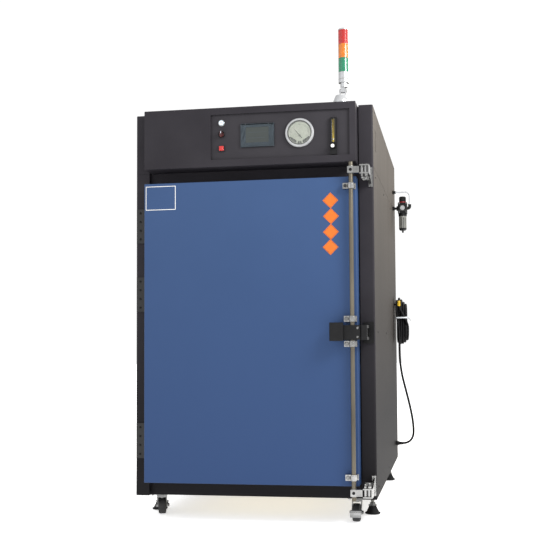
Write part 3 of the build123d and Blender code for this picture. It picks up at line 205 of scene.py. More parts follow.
makeFinish("clearPlastic", {"colour": "e9ece6", "tone": "dde2da", "mottle": 20.0, "grain": 500.0,
            "roughness": 0.08, "clear": 0.92, "ior": 1.46, "relief": 0.02})
makeFinish("tubeYellow", {"colour": "a08a2c", "tone": "8c7824", "mottle": 60.0, "grain": 900.0,
            "roughness": 0.35, "coat": 0.3, "relief": 0.1})
makeFinish("airTube", {"colour": "c9ccd0", "tone": "bbbec3", "mottle": 40.0, "grain": 900.0,
            "roughness": 0.35, "relief": 0.1})
makeFinish("capYellow", {"colour": "d9b529", "tone": "c49f1c", "mottle": 60.0, "grain": 900.0,
            "roughness": 0.4, "relief": 0.2})
makeFinish("tieWhite", {"colour": "dfe3e6", "tone": "c9ced2", "mottle": 60.0, "grain": 900.0,
            "roughness": 0.45, "relief": 0.2})
makeFinish("diamondOrange", {"colour": "cf660e", "tone": "c25c0a", "mottle": 50.0, "grain": 900.0,
            "roughness": 0.4, "relief": 0.08})
makeFinish("ringRed", {"colour": "c8202c", "tone": "b01a25", "mottle": 60.0, "grain": 900.0,
            "roughness": 0.35, "relief": 0.1})
print("finishes made")

nodeFinishes = {
    "paintGrey": "front_frame header_box base_frame",
    "paintSideSheenAndShade": "left_side_panel right_side_panel top_panel rear_panel",
    "paintDoor": "door_skin",
    "paintPlate": "control_plate",
    "stainless": "inner_chamber air_baffles shelf_rack door_inner_pan",
    "wool": "insulation",
    "heatedSteel": "heater_elements",
    "castPaint": "fan_motor",
    "zinc": "fan_wheel caster_mounts front_left_fork front_right_fork",
    "screenFrame": "touch_screen",
    "silver": "gauge_case tower_base tower_column",
    "inkBlack": "gauge_pointer frame_hinge_leaves door_hinge_leaves",
    "blackPlastic": "flowmeter_body flow_valve_knob lock_handle handle_catch regulator_body "
                    "regulator_knob cable_gland",
    "chrome": "keepers lock_arms rod_guides left_brake_pedal right_brake_pedal",
    "yellowZinc": "lock_rod",
    "wheelRubber": "front_left_wheel front_right_wheel rear_left_wheel rear_right_wheel",
    "blackRubber": "front_left_foot front_right_foot rear_left_foot rear_right_foot power_cable cable_hank",
    "greyGuard": "regulator_bowl",
    "airTube": "air_line",
    "capYellow": "cable_end",
    "silicone": "door_gasket",
    "redLens": "lens_red",
    "amberLens": "lens_amber",
    "greenLens": "lens_green",
    "buttonWhite": "power_button",
    "selectorRed": "selector_knob",
    "stopRed": "stop_button",
}
for finishName, nodeNames in nodeFinishes.items():
    for nodeName in nodeNames.split():
        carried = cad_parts[nodeName]
        carried.data.materials.clear()
        carried.data.materials.append(finishes[finishName])


# Lathe: the point at angle a and profile entry (r, h) is centre + r*(u cos a + v sin a) + h*axis
def lathe(profile, centre, axis, steps=40):
    axis = Vector(axis).normalized()
    u = axis.orthogonal().normalized()
    v = axis.cross(u)
    angles = np.linspace(0, 2 * math.pi, steps, endpoint=False)
    ring = np.outer(np.cos(angles), u) + np.outer(np.sin(angles), v)
    points = np.concatenate([np.array(centre) + r / 1000 * ring + h / 1000 * np.array(axis) for r,
                             h in profile])
    faces = []
    for row in range(len(profile) - 1):
        for i in range(steps):
            j = (i + 1) % steps
            faces.append((row * steps + i, row * steps + j, (row + 1) * steps + j, (row + 1) * steps + i))
    faces.append(tuple(range(steps))[::-1])
    faces.append(tuple((len(profile) - 1) * steps + i for i in range(steps)))
    return points, faces


# Slab: the eight corners of a box between two cabinet points
def slab(low, high):
    a, b = Vector(spot(*low)), Vector(spot(*high))
    points = np.array([(x, y, z) for x in (a.x, b.x) for y in (a.y, b.y) for z in (a.z, b.z)])
    faces = [(0, 1, 3, 2), (4, 6, 7, 5), (0, 4, 5, 1), (2, 3, 7, 6), (0, 2, 6, 4), (1, 5, 7, 3)]
    return points, faces


# Prism: a flat outline of row-frame points, joined to the same outline moved by a vector
def prism(outline, shift):
    first = np.array([tuple(p) for p in outline], float)
    count = len(first)
    points = np.concatenate([first, first + np.array(shift, float)])
    faces = [(i, (i + 1) % count, count + (i + 1) % count, count + i) for i in range(count)]
    faces += [tuple(range(count))[::-1], tuple(count + i for i in range(count))]
    return points, faces


# Tube: a circle of the radius carried along a polyline, its frame turned least from point to point
def tube(route, radius, steps):
    route = np.array(route, float)
    ahead = np.roll(route, -1, 0) - np.roll(route, 1, 0)
    ahead[0], ahead[-1] = route[1] - route[0], route[-1] - route[-2]
    ahead /= np.linalg.norm(ahead, axis=1)[:, None]
    side = np.array(Vector(ahead[0]).orthogonal().normalized())
    angles = np.linspace(0, 2 * math.pi, steps, endpoint=False)
    points = []
    for at, way in zip(route, ahead):
        side = side - way * side.dot(way)
        side /= np.linalg.norm(side)
        other = np.cross(way, side)
        points.append(at + radius * (np.outer(np.cos(angles), side) + np.outer(np.sin(angles), other)))
    points = np.concatenate(points)
    faces = []
    for row in range(len(route) - 1):
        for i in range(steps):
            j = (i + 1) % steps
            faces.append((row * steps + i, row * steps + j, (row + 1) * steps + j, (row + 1) * steps + i))
    faces.append(tuple(range(steps))[::-1])
    faces.append(tuple((len(route) - 1) * steps + i for i in range(steps)))
    return points, faces


# Piece: its shells' points joined in one mesh, faces counted on; edges sharper than 35 degrees stay sharp
def makePiece(name, shells, body, replaced=(), bevel=0.0, segments=2):
    points, faces, slots, used = [], [], [], []
    for shell in shells:
        (shellPoints, shellFaces), finishName = shell
        if finishName not in used:
            used.append(finishName)
        start = sum(len(p) for p in points)
        points.append(shellPoints)
        faces += [tuple(i + start for i in face) for face in shellFaces]
        slots += [used.index(finishName)] * len(shellFaces)
    mesh = bpy.data.meshes.new(name)
    mesh.from_pydata(np.concatenate(points).tolist(), [], faces)
    for finishName in used:
        mesh.materials.append(finishes[finishName])
    mesh.polygons.foreach_set("material_index", slots)
    mesh.polygons.foreach_set("use_smooth", [True] * len(faces))
    mesh.update()
    mesh.validate()
    mesh.set_sharp_from_angle(angle=math.radians(35))
    piece = bpy.data.objects.new(name, mesh)
    bpy.context.scene.collection.objects.link(piece)
    if bevel:
        rounding = piece.modifiers.new("edges", "BEVEL")
        rounding.width = bevel
        rounding.segments = segments
        rounding.limit_method = "ANGLE"
        rounding.angle_limit = math.radians(40)
        rounding.harden_normals = True
    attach(piece, body)
    if replaced:
        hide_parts(*replaced)
    return piece


# Screw head: a low dome with a slot-like hollow, standing on a face along the axis
def screwHead(x, y, z, axis, radius=4.0, height=2.2):
    profile = [(radius, 0), (radius, height * 0.45), (radius * 0.8, height * 0.85), (radius * 0.45, height),
               (radius * 0.42, height * 0.55), (0.01, height * 0.5)]
    return lathe(profile, spot(x, y, z), axis, 20)


# Hexagon head: a six-sided prism with a small chamfer at its foot and at its top
def hexHead(x, y, z, axis, radius=6.0, height=5.0):
    return lathe([(radius * 0.98, 0), (radius, 0.4), (radius, height - 0.9), (radius * 0.86, height),
                  (0.01, height)],
                 spot(x, y, z), axis, 6)


toFront = (0, -1, 0)
toRight = (1, 0, 0)
toRear = (0, 1, 0)
upward = (0, 0, 1)

# Controls on the plate
controls = {"x": -116, "lampZ": 1583, "selectorZ": 1534, "stopZ": 1474, "plateY": -70}
plateY = controls["plateY"]
lampAt = spot(controls["x"], plateY, controls["lampZ"])
selectorAt = spot(controls["x"], plateY, controls["selectorZ"])
makePiece("lampBezel", [
    (lathe([(10.5, 3.8), (11.5, 5.2), (13.6, 5.0), (14.6, 3.6), (14.6, 0.1), (10.5, 0.1)],
           lampAt, toFront), "chrome"),
    (lathe([(10.7, 4.0), (11.6, 5.4), (13.6, 5.2), (14.6, 3.8), (14.6, 0.1), (10.7, 0.1)],
           selectorAt, toFront), "blackPlastic"),
    (prism([spot(controls["x"] + a, plateY, controls["stopZ"] + b)
            for a, b in ((-13.2, -13.2), (13.2, -13.2), (13.2, 13.2), (-13.2, 13.2))], (0, -0.0038, 0)),
     "blackPlastic"),
], "cabinet", bevel=0.0008)
makePiece("lampButton", [
    (lathe([(10.3, -6), (10.3, 7.6), (9.6, 9.0), (7.0, 9.6), (6.4, 8.8), (0.01, 8.6)],
           lampAt, toFront), "buttonWhite"),
    (lathe([(3.2, 8.6), (2.8, 8.95), (0.01, 8.98)], lampAt, toFront, 24),
     "silver"),
], "power_button", ["power_button"])
makePiece("selectorBody", [
    (lathe([(10.3, -6), (10.3, 5.6), (9.8, 7.0), (0.01, 7.2)],
           selectorAt, toFront), "selectorRed"),
    (prism([spot(controls["x"] + a, plateY - 6.8, controls["selectorZ"] + b)
            for a, b in ((-4.4, -9), (-2.6, -13), (2.6, -13), (4.4, -9), (4.4, 9), (2.6, 13),
                         (-2.6, 13), (-4.4, 9))],
           (0, -0.0110, 0)), "selectorRed"),
    (prism([spot(controls["x"] + a, plateY - 17.7, controls["selectorZ"] + b)
            for a, b in ((-1.0, 2), (1.0, 2), (1.0, 11.5), (-1.0, 11.5))], (0, -0.00035, 0)),
            "buttonWhite"),
], "selector", ["selector_knob"], bevel=0.0009)
makePiece("stopCap", [
    (prism([spot(controls["x"] + a, plateY + 3, controls["stopZ"] + b)
            for a, b in ((-9.9, -9.9), (9.9, -9.9), (9.9, 9.9), (-9.9, 9.9))], (0, -0.0125, 0)), "stopRed"),
], "stop_button", ["stop_button"], bevel=0.0022, segments=4)

# Touch screen: frame with a bright upper edge, glass and faint field lines
screen = {"x": 39.5, "z": 1524.5, "width": 143, "height": 99}
sx, sz = screen["x"], screen["z"]
halfW, halfH = screen["width"] / 2, screen["height"] / 2
screenShells = [
    (slab((sx - halfW, plateY - 7, sz - halfH), (sx - 50.4, plateY, sz + halfH)), "screenFrame"),
    (slab((sx + 49.8, plateY - 7, sz - halfH), (sx + halfW, plateY, sz + halfH)), "screenFrame"),
    (slab((sx - 50.4, plateY - 7, sz - halfH), (sx + 49.8, plateY, sz - 31.7)), "screenFrame"),
    (slab((sx - 50.4, plateY - 7, sz + 34.3), (sx + 49.8, plateY, sz + halfH)), "screenFrame"),
]
makePiece("screenBezel", screenShells, "cabinet", bevel=0.0006)
makePiece("screenGlass", [
    (slab((sx - 50.2, plateY - 5.7, sz - 31.5), (sx + 49.6, plateY - 5.4, sz + 34.1)), "screenFace"),
    (slab((sx - halfW + 1, plateY - 7.0, sz + halfH - 4.6),
          (sx + halfW - 1, plateY - 6.6, sz + halfH - 1.2)), "silver"),
    (slab((sx - 38, plateY - 5.75, sz + 12), (sx + 37, plateY - 5.7, sz + 12.8)), "screenFrame"),
    (slab((sx - 38, plateY - 5.75, sz - 12), (sx + 37, plateY - 5.7, sz - 11.2)), "screenFrame"),
], "cabinet")

# Pressure gauge: bezel ring, dark groove, white dial with ticks, black lower cheeks and zero screw
gauge = {"x": 220, "z": 1526, "pivotDrop": 12, "tickRadius": 40.5}
gx, gz = gauge["x"], gauge["z"]
gaugeCentre = spot(gx, plateY, gz)
makePiece("gaugeRing", [
    (lathe([(52.2, 4.2), (52.2, 9.6), (53.4, 11.6), (56.0, 12.0), (58.6, 11.2), (60.4, 8.6),
            (60.5, 3.0), (60.0, 0.1),
            (52.2, 0.1)], gaugeCentre, toFront, 96), "silver"),
    (lathe([(52.1, 4.3), (51.9, 9.4), (49.6, 10.2), (46.6, 7.6), (46.6, 4.3)], gaugeCentre, toFront,
           96), "inkBlack"),
], "cabinet")
dialShells = [(lathe([(46.6, 4.2), (46.6, 4.7), (0.01, 4.75)], gaugeCentre, toFront, 96), "dialWhite")]
for step in range(31):
    angle = math.radians(210 - step * 8)
    long = 6.5 if step % 5 == 0 else 3.6
    outer, inner = gauge["tickRadius"], gauge["tickRadius"] - long
    ca, sa = math.cos(angle), math.sin(angle)
    half = 0.55 if step % 5 == 0 else 0.3
    corners = [(outer * ca - half * sa, outer * sa + half * ca),
               (outer * ca + half * sa, outer * sa - half * ca),
               (inner * ca + half * sa, inner * sa - half * ca),
               (inner * ca - half * sa, inner * sa + half * ca)]
    if angle > math.radians(-35):
        dialShells.append((prism([spot(gx + a, plateY - 4.75, gz - 2 + b) for a, b in corners],
                                 (0, -0.0001, 0)),
                           "inkBlack"))
for side in (-1, 1):
    cheek = [(side * (14 + 29 * t),
              -44.5 * math.cos(math.asin(min(1, (14 + 29 * t) / 46.4)))) for t in np.linspace(0, 1, 9)]
    cheek += [(side * 38, -16), (side * 13, -32)]
    dialShells.append((prism([spot(gx + a, plateY - 4.76, gz + b) for a, b in cheek], (0, -0.0004, 0)),
                       "inkBlack"))
dialShells.append((lathe([(3.6, 4.7), (3.6, 8.6), (2.8, 9.4), (0.01, 9.4)], spot(gx, plateY, gz - 41),
                         toFront, 24),
                   "zinc"))
dialShells.append((prism([spot(gx + a, plateY - 4.77, gz + b) for a,
                          b in ((-9, -46), (9, -46), (7, -36), (-7, -36))],
                         (0, -0.0006, 0)), "inkBlack"))
makePiece("gaugeDial", dialShells, "cabinet")
makePiece("gaugeNeedle", [
    (prism([spot(gx + a, plateY - 6.6, gz - gauge["pivotDrop"] + b)
            for a, b in ((-26.6, 32.8), (-27.4, 32.2), (8.4, -11.4), (11.0, -9.4))], (0, -0.0006, 0)),
            "inkBlack"),
    (lathe([(4.0, 6.4), (4.0, 7.4), (3.0, 7.8), (0.01, 7.8)], spot(gx, plateY, gz - gauge["pivotDrop"]),
           toFront, 24),
     "inkBlack"),
], "gauge_needle", ["gauge_pointer"])
makePiece("gaugeWindow", [
    (lathe([(51.9, 9.7), (51.9, 10.6), (0.01, 10.9)], gaugeCentre, toFront, 72), "clearPlastic"),
], "cabinet")

# Flow meter: black body, amber tube with graduations, float, valve knob
flow = {"x": 363, "valveX": 361, "valveZ": 1461}
fx = flow["x"]
valveAt = spot(flow["valveX"], plateY, flow["valveZ"])
flowShells = [
    (slab((fx - 3.4, plateY - 12.2, 1479), (fx + 3.4, plateY - 6.4, 1576)), "tubeYellow"),
    (slab((fx + 4.4, plateY - 12.6, 1478), (fx + 9.2, plateY - 6.4, 1577)), "inkBlack"),
    (slab((fx - 9.2, plateY - 12.6, 1478), (fx - 4.4, plateY - 6.4, 1577)), "inkBlack"),
    (lathe([(0.01, 0), (3.0, 0.4), (3.0, 4.6), (1.4, 6.4), (0.01, 6.6)], spot(fx, plateY - 10.6, 1488),
           upward, 20),
     "silver"),
]
for step in range(15):
    wide = 2.6 if step % 5 == 0 else 1.5
    flowShells.append((slab((fx - 4.2 - wide, plateY - 12.75, 1484 + step * 6), (fx - 4.6, plateY - 12.6,
                                                                               1484.7 + step * 6)),
                                                                               "dialWhite"))
makePiece("flowTube", flowShells, "cabinet")
knobShells = [(lathe([(10.6, 12.6), (10.9, 13.4), (10.9, 22.4), (10.2, 23.6), (7.2, 24.0)],
                     valveAt, toFront, 36), "blackPlastic"),
              (lathe([(7.4, 23.8), (7.2, 25.2), (5.6, 25.9), (0.01, 26.1)],
                     valveAt, toFront, 36), "dialWhite"),
              (lathe([(3.0, 1.0), (3.0, 13.0), (2.8, 13.1)], valveAt, toFront, 20),
               "zinc")]
for step in range(18):
    angle = math.radians(step * 20)
    cx0, cz0 = 10.9 * math.cos(angle), 10.9 * math.sin(angle)
    knobShells.append((lathe([(0.8, 13.6), (0.8, 22.2), (0.3, 22.6)],
                             spot(flow["valveX"] + cx0, plateY, flow["valveZ"] + cz0), toFront, 8),
                             "blackPlastic"))
makePiece("flowKnob", knobShells, "flow_valve", ["flow_valve_knob"])
print("controls made")

# Door plates: a bare blue-and-white plate and four plain orange diamonds
doorY = -80
makePiece("doorPlates", [
    (slab((-448, doorY - 0.8, 1219), (-316, doorY, 1321)), "dialWhite"),
    (slab((-445.5, doorY - 0.95, 1221.5), (-318.5, doorY - 0.8, 1318.5)), "paintDoor"),
], "door")
diamondShells = []
for dx, dz in ((348, 1236), (350, 1170), (349, 1105), (347, 1042)):
    outline = [(0, -33), (33, 0), (0, 33), (-33, 0)]
    diamondShells.append((prism([spot(dx + a, doorY, dz + b) for a, b in outline], (0, -0.0009, 0)),
                          "diamondOrange"))
    inner = [(0, -29.5), (29.5, 0), (0, 29.5), (-29.5, 0)]
    diamondShells.append((prism([spot(dx + a, doorY - 0.9, dz + b) for a, b in inner],
                                (0, -0.00015, 0)), "inkBlack"))
    core = [(0, -28.4), (28.4, 0), (0, 28.4), (-28.4, 0)]
    diamondShells.append((prism([spot(dx + a, doorY - 1.05, dz + b) for a, b in core], (0, -0.0001, 0)),
                          "diamondOrange"))
makePiece("doorDiamonds", diamondShells, "door")

# Hinge screws: four on each leaf, on the post and on the door
hingeShells = []
doorHingeShells = []
for hz in (234, 864, 1162):
    for dz in (-57, -19, 19, 57):
        hingeShells.append((screwHead(-499, -5, hz + dz, toFront, 5.0, 2.6), "blackPlastic"))
        doorHingeShells.append((screwHead(-460, -42, hz + dz, (-1, 0, 0), 5.0, 2.6), "blackPlastic"))
makePiece("postHingeScrews", hingeShells, "cabinet")
makePiece("doorHingeScrews", doorHingeShells, "door")

# Panel screws on both side panels, with small cups
sideShells = []
for side in (-1, 1):
    for sy, szz in ((98, 1357), (553, 1357), (1000, 1357), (1340, 1357), (139, 693), (647, 693),
                    (1163, 693),
                    (98, 40), (700, 40), (1340, 40), (98, 1640), (700, 1640), (1340, 1640)):
        sideShells.append((screwHead(side * 520, sy, szz, (side, 0, 0), 5.0, 2.0 if side > 0 else 0.25),
                           "blackPlastic"))
makePiece("sideScrews", sideShells, "cabinet")
rearShells = []
for rx in (-500, -250, 0, 250, 500):
    for rz in (30, 560, 1100, 1630):
        rearShells.append((screwHead(rx, 1400, rz, toRear, 4.5, 1.8), "blackPlastic"))
makePiece("rearScrews", rearShells, "cabinet")
print("door, hinges and screws made")

# Bar lock: set screws on the hubs, straps and bolts on the guides, screws in the handle plate
rod = {"x": 436, "y": -102}
handleZ = 689
lockShells = []
for armZ in (44, 1355):
    lockShells.append((lathe([(6.4, 0), (6.4, 1.4), (5.8, 2.2), (3.0, 2.2), (2.8, 0.8), (0.01, 0.8)],
                             spot(rod["x"], rod["y"] - 13, armZ), toFront, 24), "blackPlastic"))
    for end in (-1, 1):
        lockShells.append((lathe([(9.1, 0), (12.4, 0), (12.4, 2.2), (9.1, 2.2)],
                                 spot(rod["x"], rod["y"], armZ + end * 13.5), (0, 0, end), 32), "zinc"))
for dz in (-18, 18):
    lockShells.append((screwHead(458, -117, handleZ + dz, toFront, 4.5, 2.2), "zinc"))
makePiece("lockFittings", lockShells, "bar_lock")
guideShells = []
for guideZ in (104, 643, 745, 1290):
    guideShells.append((lathe([(13.0, -8), (14.4, -7.6), (14.4, 7.6), (13.0, 8)],
                              spot(rod["x"], rod["y"], guideZ),
                              upward, 36), "chrome"))
    boltFinish = "inkBlack" if guideZ == 1290 else "zinc"
    guideShells.append((hexHead(413, -104, guideZ, toFront, 7.5, 5.0), boltFinish))
    guideShells.append((lathe([(9.4, 0), (9.4, 1.2), (8.6, 1.4)], spot(413, -104, guideZ), toFront, 28),
                        "zinc"))
for guideZ in (643, 745):
    guideShells.append((slab((450, -101, guideZ - 12), (453.6, -80, guideZ + 12)), "chrome"))
makePiece("guideFittings", guideShells, "door", bevel=0.0005)

# Keepers: washers, threads and domed bolt ends over the rollers
keeperShells = []
for armZ, toward in ((44, 1), (1355, -1)):
    for kx, reach in ((482.3, 18), (498.3, 22)):
        start = armZ + toward * 27.2
        for turn in range(int(reach / 2) - 4):
            keeperShells.append((lathe([(4.0, 0), (4.5, 0.45), (4.5, 0.65), (4.0, 1.1)],
                                       spot(kx, -102, start + toward * turn * 1.3), (0, 0, toward), 20),
                                       "zinc"))
        keeperShells.append((lathe([(8.6, 0), (8.6, 0.9), (8.2, 1.1)], spot(kx, -102, armZ - toward * 19),
                                   (0, 0, -toward), 24), "zinc"))
        keeperShells.append((lathe([(6.6, 0), (6.6, 3.6), (5.2, 4.4), (2.6, 4.4), (2.4, 2.6), (0.01, 2.6)],
                                   spot(kx, -102, armZ - toward * 20), (0, 0, -toward), 24), "inkBlack"))
    for dz in (-23, 23):
        keeperShells.append((screwHead(492, -4, armZ + dz, toFront, 3.6, 1.8), "zinc"))
makePiece("keeperBolts", keeperShells, "cabinet")
print("lock made")

# Castors: tyres on hubs, axle nuts; the castor's own plane runs along its trailing direction
castors = {"x": 430, "frontY": 82, "rearY": 1318, "axleZ": -60.5, "trail": 38, "leftAngle": 105,
           "rightAngle": -90,
           "rearAngle": 90}
wheels = [("front_left_wheel", "left_wheel", -1, castors["frontY"], castors["leftAngle"], castors["trail"]),
          ("front_right_wheel", "right_wheel", 1, castors["frontY"], castors["rightAngle"],
           castors["trail"]),
          ("rear_left_wheel", "rear_left_wheel", -1, castors["rearY"], castors["rearAngle"], 0),
          ("rear_right_wheel", "rear_right_wheel", 1, castors["rearY"], castors["rearAngle"], 0)]
for nodeName, bodyName, side, castorY, angle, trail in wheels:
    ca, sa = math.cos(math.radians(angle)), math.sin(math.radians(angle))
    axle = spot(side * castors["x"] + trail * ca, castorY + trail * sa, castors["axleZ"])
    across = (sa, -ca, 0)
    tyre = [(25.5, -12.5), (27.5, -15.2), (30.5, -16), (33.5, -15.8), (36.0, -13.9), (37.2, -10.5),
            (37.5, -6),
            (37.5, 6), (37.2, 10.5), (36.0, 13.9), (33.5, 15.8), (30.5, 16), (27.5, 15.2), (25.5, 12.5)]
    hub = [(6.0, -15.6), (11.5, -15.6), (13.0, -14.6), (13.6, -11.0), (25.6, -10.4), (25.6, 10.4),
           (13.6, 11.0),
           (13.0, 14.6), (11.5, 15.6), (6.0, 15.6)]
    makePiece(nodeName.replace("_wheel", "_tyre"), [(lathe(tyre, axle, across, 64), "wheelRubber"),
                                                   (lathe(hub, axle, across, 48), "blackPlastic")],
              bodyName, [nodeName])
forks = [("front_left_fork", "left_swivel", wheels[0]), ("front_right_fork", "right_swivel", wheels[1]),
         ("caster_mounts", "cabinet", wheels[2]), ("caster_mounts", "cabinet", wheels[3])]
for index, (nodeName, bodyName, wheel) in enumerate(forks):
    side, castorY, angle, trail = wheel[2:]
    ca, sa = math.cos(math.radians(angle)), math.sin(math.radians(angle))
    nutShells = []
    for end in (-1, 1):
        centre = Vector(spot(side * castors["x"] + trail * ca, castorY + trail * sa, castors["axleZ"]))
        centre += Vector((sa, -ca, 0)) * end * (0.0245 if trail else 0.0206)
        nutShells.append((lathe([(8.8, 0), (8.8, 3.4), (7.4, 4.4), (5.0, 4.4), (5.0, 5.6), (4.0, 6.0),
                                 (0.01, 6.0)],
                                centre, (sa * end, -ca * end, 0), 6 if trail else 24), "zinc"))
    if trail:
        swivel = spot(side * castors["x"], castorY, -11)
        nutShells.append((lathe([(24.3, 0.2), (25.4, 1.2), (25.4, 3.4), (24.3, 4.6)], swivel, upward,
                                48), "zinc"))
    makePiece("castorNuts" + str(index), nutShells, bodyName)
plateShells = []
for side in (-1, 1):
    for castorY in (castors["frontY"], castors["rearY"]):
        for dx in (-29, 29):
            for dy in (-38, 38):
                plateShells.append((hexHead(side * castors["x"] + dx, castorY + dy, -3, (0, 0, -1), 6.5,
                                            4.0), "zinc"))
makePiece("castorBolts", plateShells, "cabinet")

# Levelling feet: rubber bell with a rolled rim, washer, zinc nut, and a stem whose thread is a row of rings
foot = {"bottom": -94, "nutLow": -58, "nutHigh": 10.4, "root": 7.3, "crest": 7.95, "pitch": 2.5,
        "rings": 34}
feet = [("front_left_foot", -482, 211), ("front_right_foot", 482, 211), ("rear_left_foot", -482, 1189),
        ("rear_right_foot", 482, 1189)]
bellHigh = foot["nutLow"] - foot["bottom"]
bellProfile = [(29.0, 1.2), (30.0, 0.0), (33.0, 0.0), (33.9, 0.8), (33.9, 4.2), (33.1, 5.0), (29.8, 5.3)]
bellProfile += [(15.2 + 14.4 * (1 - t) ** 1.25, 5.3 + (bellHigh - 5.3) * t) for t in np.linspace(0.08,
                                                                                                 1.0, 9)]
threadProfile = [(foot["root"], -0.5)]
for ring in range(foot["rings"]):
    threadProfile += [(foot["root"], ring * foot["pitch"]), (foot["crest"], ring * foot["pitch"] + 1.0),
                      (foot["crest"], ring * foot["pitch"] + 1.5)]
threadProfile.append((6.4, foot["rings"] * foot["pitch"] + 0.6))
for nodeName, footX, footY in feet:
    base = spot(footX, footY, foot["bottom"])
    nut = spot(footX, footY, foot["nutLow"])
    makePiece(nodeName + "_shell", [
        (lathe(bellProfile, base, upward, 44), "blackRubber"),
        (lathe([(13.6, 0), (13.8, 0.6), (13.8, 9.4), (13.0, 10.4), (7.3, 10.4)], nut, upward, 6), "zinc"),
        (lathe([(20.0, -0.8), (20.0, 0.4), (19.0, 0.7), (14.0, 0.7)], nut, upward, 36), "zinc"),
        (lathe(threadProfile, spot(footX, footY, foot["nutLow"] + foot["nutHigh"]), upward, 20),
         "greyGuard"),
    ], nodeName, [nodeName])
print("running gear made")

# Regulator: ribbed knob on a red ring, body with corner screws, slotted bowl guard and fittings
unit = {"x": 575, "y": 1210, "port": 1388, "knobLow": 1418.3, "bowlTop": 1357.7, "lineX": 614, "ribs": 28,
        "guardBars": 10}
ux, uy = unit["x"], unit["y"]
knobAt = spot(ux, uy, unit["knobLow"])
bowlAt = spot(ux, uy, unit["bowlTop"])
knobShells = [(lathe([(17.4, 4.2), (17.6, 5.0), (17.6, 30.4), (16.4, 33.2), (14.2, 34.0), (13.6, 33.2),
                      (0.01, 33.2)],
                     knobAt, upward, 56), "blackPlastic"),
              (lathe([(18.4, 0.1), (18.9, 0.6), (18.9, 4.0), (18.2, 4.4), (7.4, 4.4)], knobAt,
                     upward, 56), "ringRed")]
for rib in range(unit["ribs"]):
    angle = 2 * math.pi * rib / unit["ribs"]
    knobShells.append((lathe([(1.3, 5.2), (1.35, 6.0), (1.35, 29.2), (0.7, 30.6)],
                             spot(ux + 17.6 * math.cos(angle), uy + 17.6 * math.sin(angle),
                                  unit["knobLow"]), upward,
                             8), "blackPlastic"))
makePiece("regulatorKnob", knobShells, "pressure_adjuster", ["regulator_knob"])
bodyShells = []
for dx in (-19, 19):
    for dz in (-24, 24):
        bodyShells.append((screwHead(ux + dx, uy - 25, unit["port"] + dz, toFront, 3.0, 1.4), "zinc"))
bodyShells.append((lathe([(13.0, 0), (13.0, 1.6), (11.6, 2.6), (9.4, 2.6), (9.0, 1.4), (0.01, 1.4)],
                         spot(ux, uy - 25, unit["port"]), toFront, 40), "silver"))
bodyShells.append((slab((ux - 24, uy - 25.4, unit["port"] - 14), (ux + 24, uy - 24.8, unit["port"] - 13.2)),
                   "greyGuard"))
bodyShells.append((lathe([(13.2, 0), (13.6, 0.8), (13.6, 6.6), (12.8, 7.6), (7.2, 7.6)],
                         spot(ux - 25.1, uy, unit["port"]), (-1, 0, 0), 40), "blackPlastic"))
makePiece("regulatorDetails", bodyShells, "cabinet")
guardShells = [(lathe([(22.6, -14.0), (23.0, -13.2), (23.0, -0.8), (22.4, 0)], bowlAt, upward,
                      56), "blackPlastic"),
               (lathe([(17.0, -92), (17.6, -90), (17.6, -14)], bowlAt, upward, 48),
                "screenFace"),
               (lathe([(8.0, -93.8), (14.0, -93.0), (18.6, -89.6), (20.6, -84.8), (21.0, -80.5),
                       (17.4, -80.5)],
                      bowlAt, upward, 56), "blackPlastic"),
               (lathe([(21.0, -22), (21.0, -14), (17.4, -14)], bowlAt, upward, 56),
                "greyGuard"),
               (lathe([(3.6, -105.2), (4.6, -104.4), (4.6, -101), (5.0, -100), (5.0, -93)],
                      bowlAt, upward, 24), "inkBlack")]
for bar in range(unit["guardBars"]):
    middle = 2 * math.pi * (bar + 0.5) / unit["guardBars"]
    spread = np.linspace(-0.22, 0.22, 6)
    outline = [spot(ux + 21 * math.cos(middle + a), uy + 21 * math.sin(middle + a), unit["bowlTop"] - 81)
               for a in spread]
    outline += [spot(ux + 18 * math.cos(middle + a), uy + 18 * math.sin(middle + a), unit["bowlTop"] - 81)
                for a in spread[::-1]]
    guardShells.append((prism(outline, (0, 0, 0.060)), "greyGuard"))
makePiece("bowlGuard", guardShells, "cabinet", ["regulator_bowl"], bevel=0.0004)

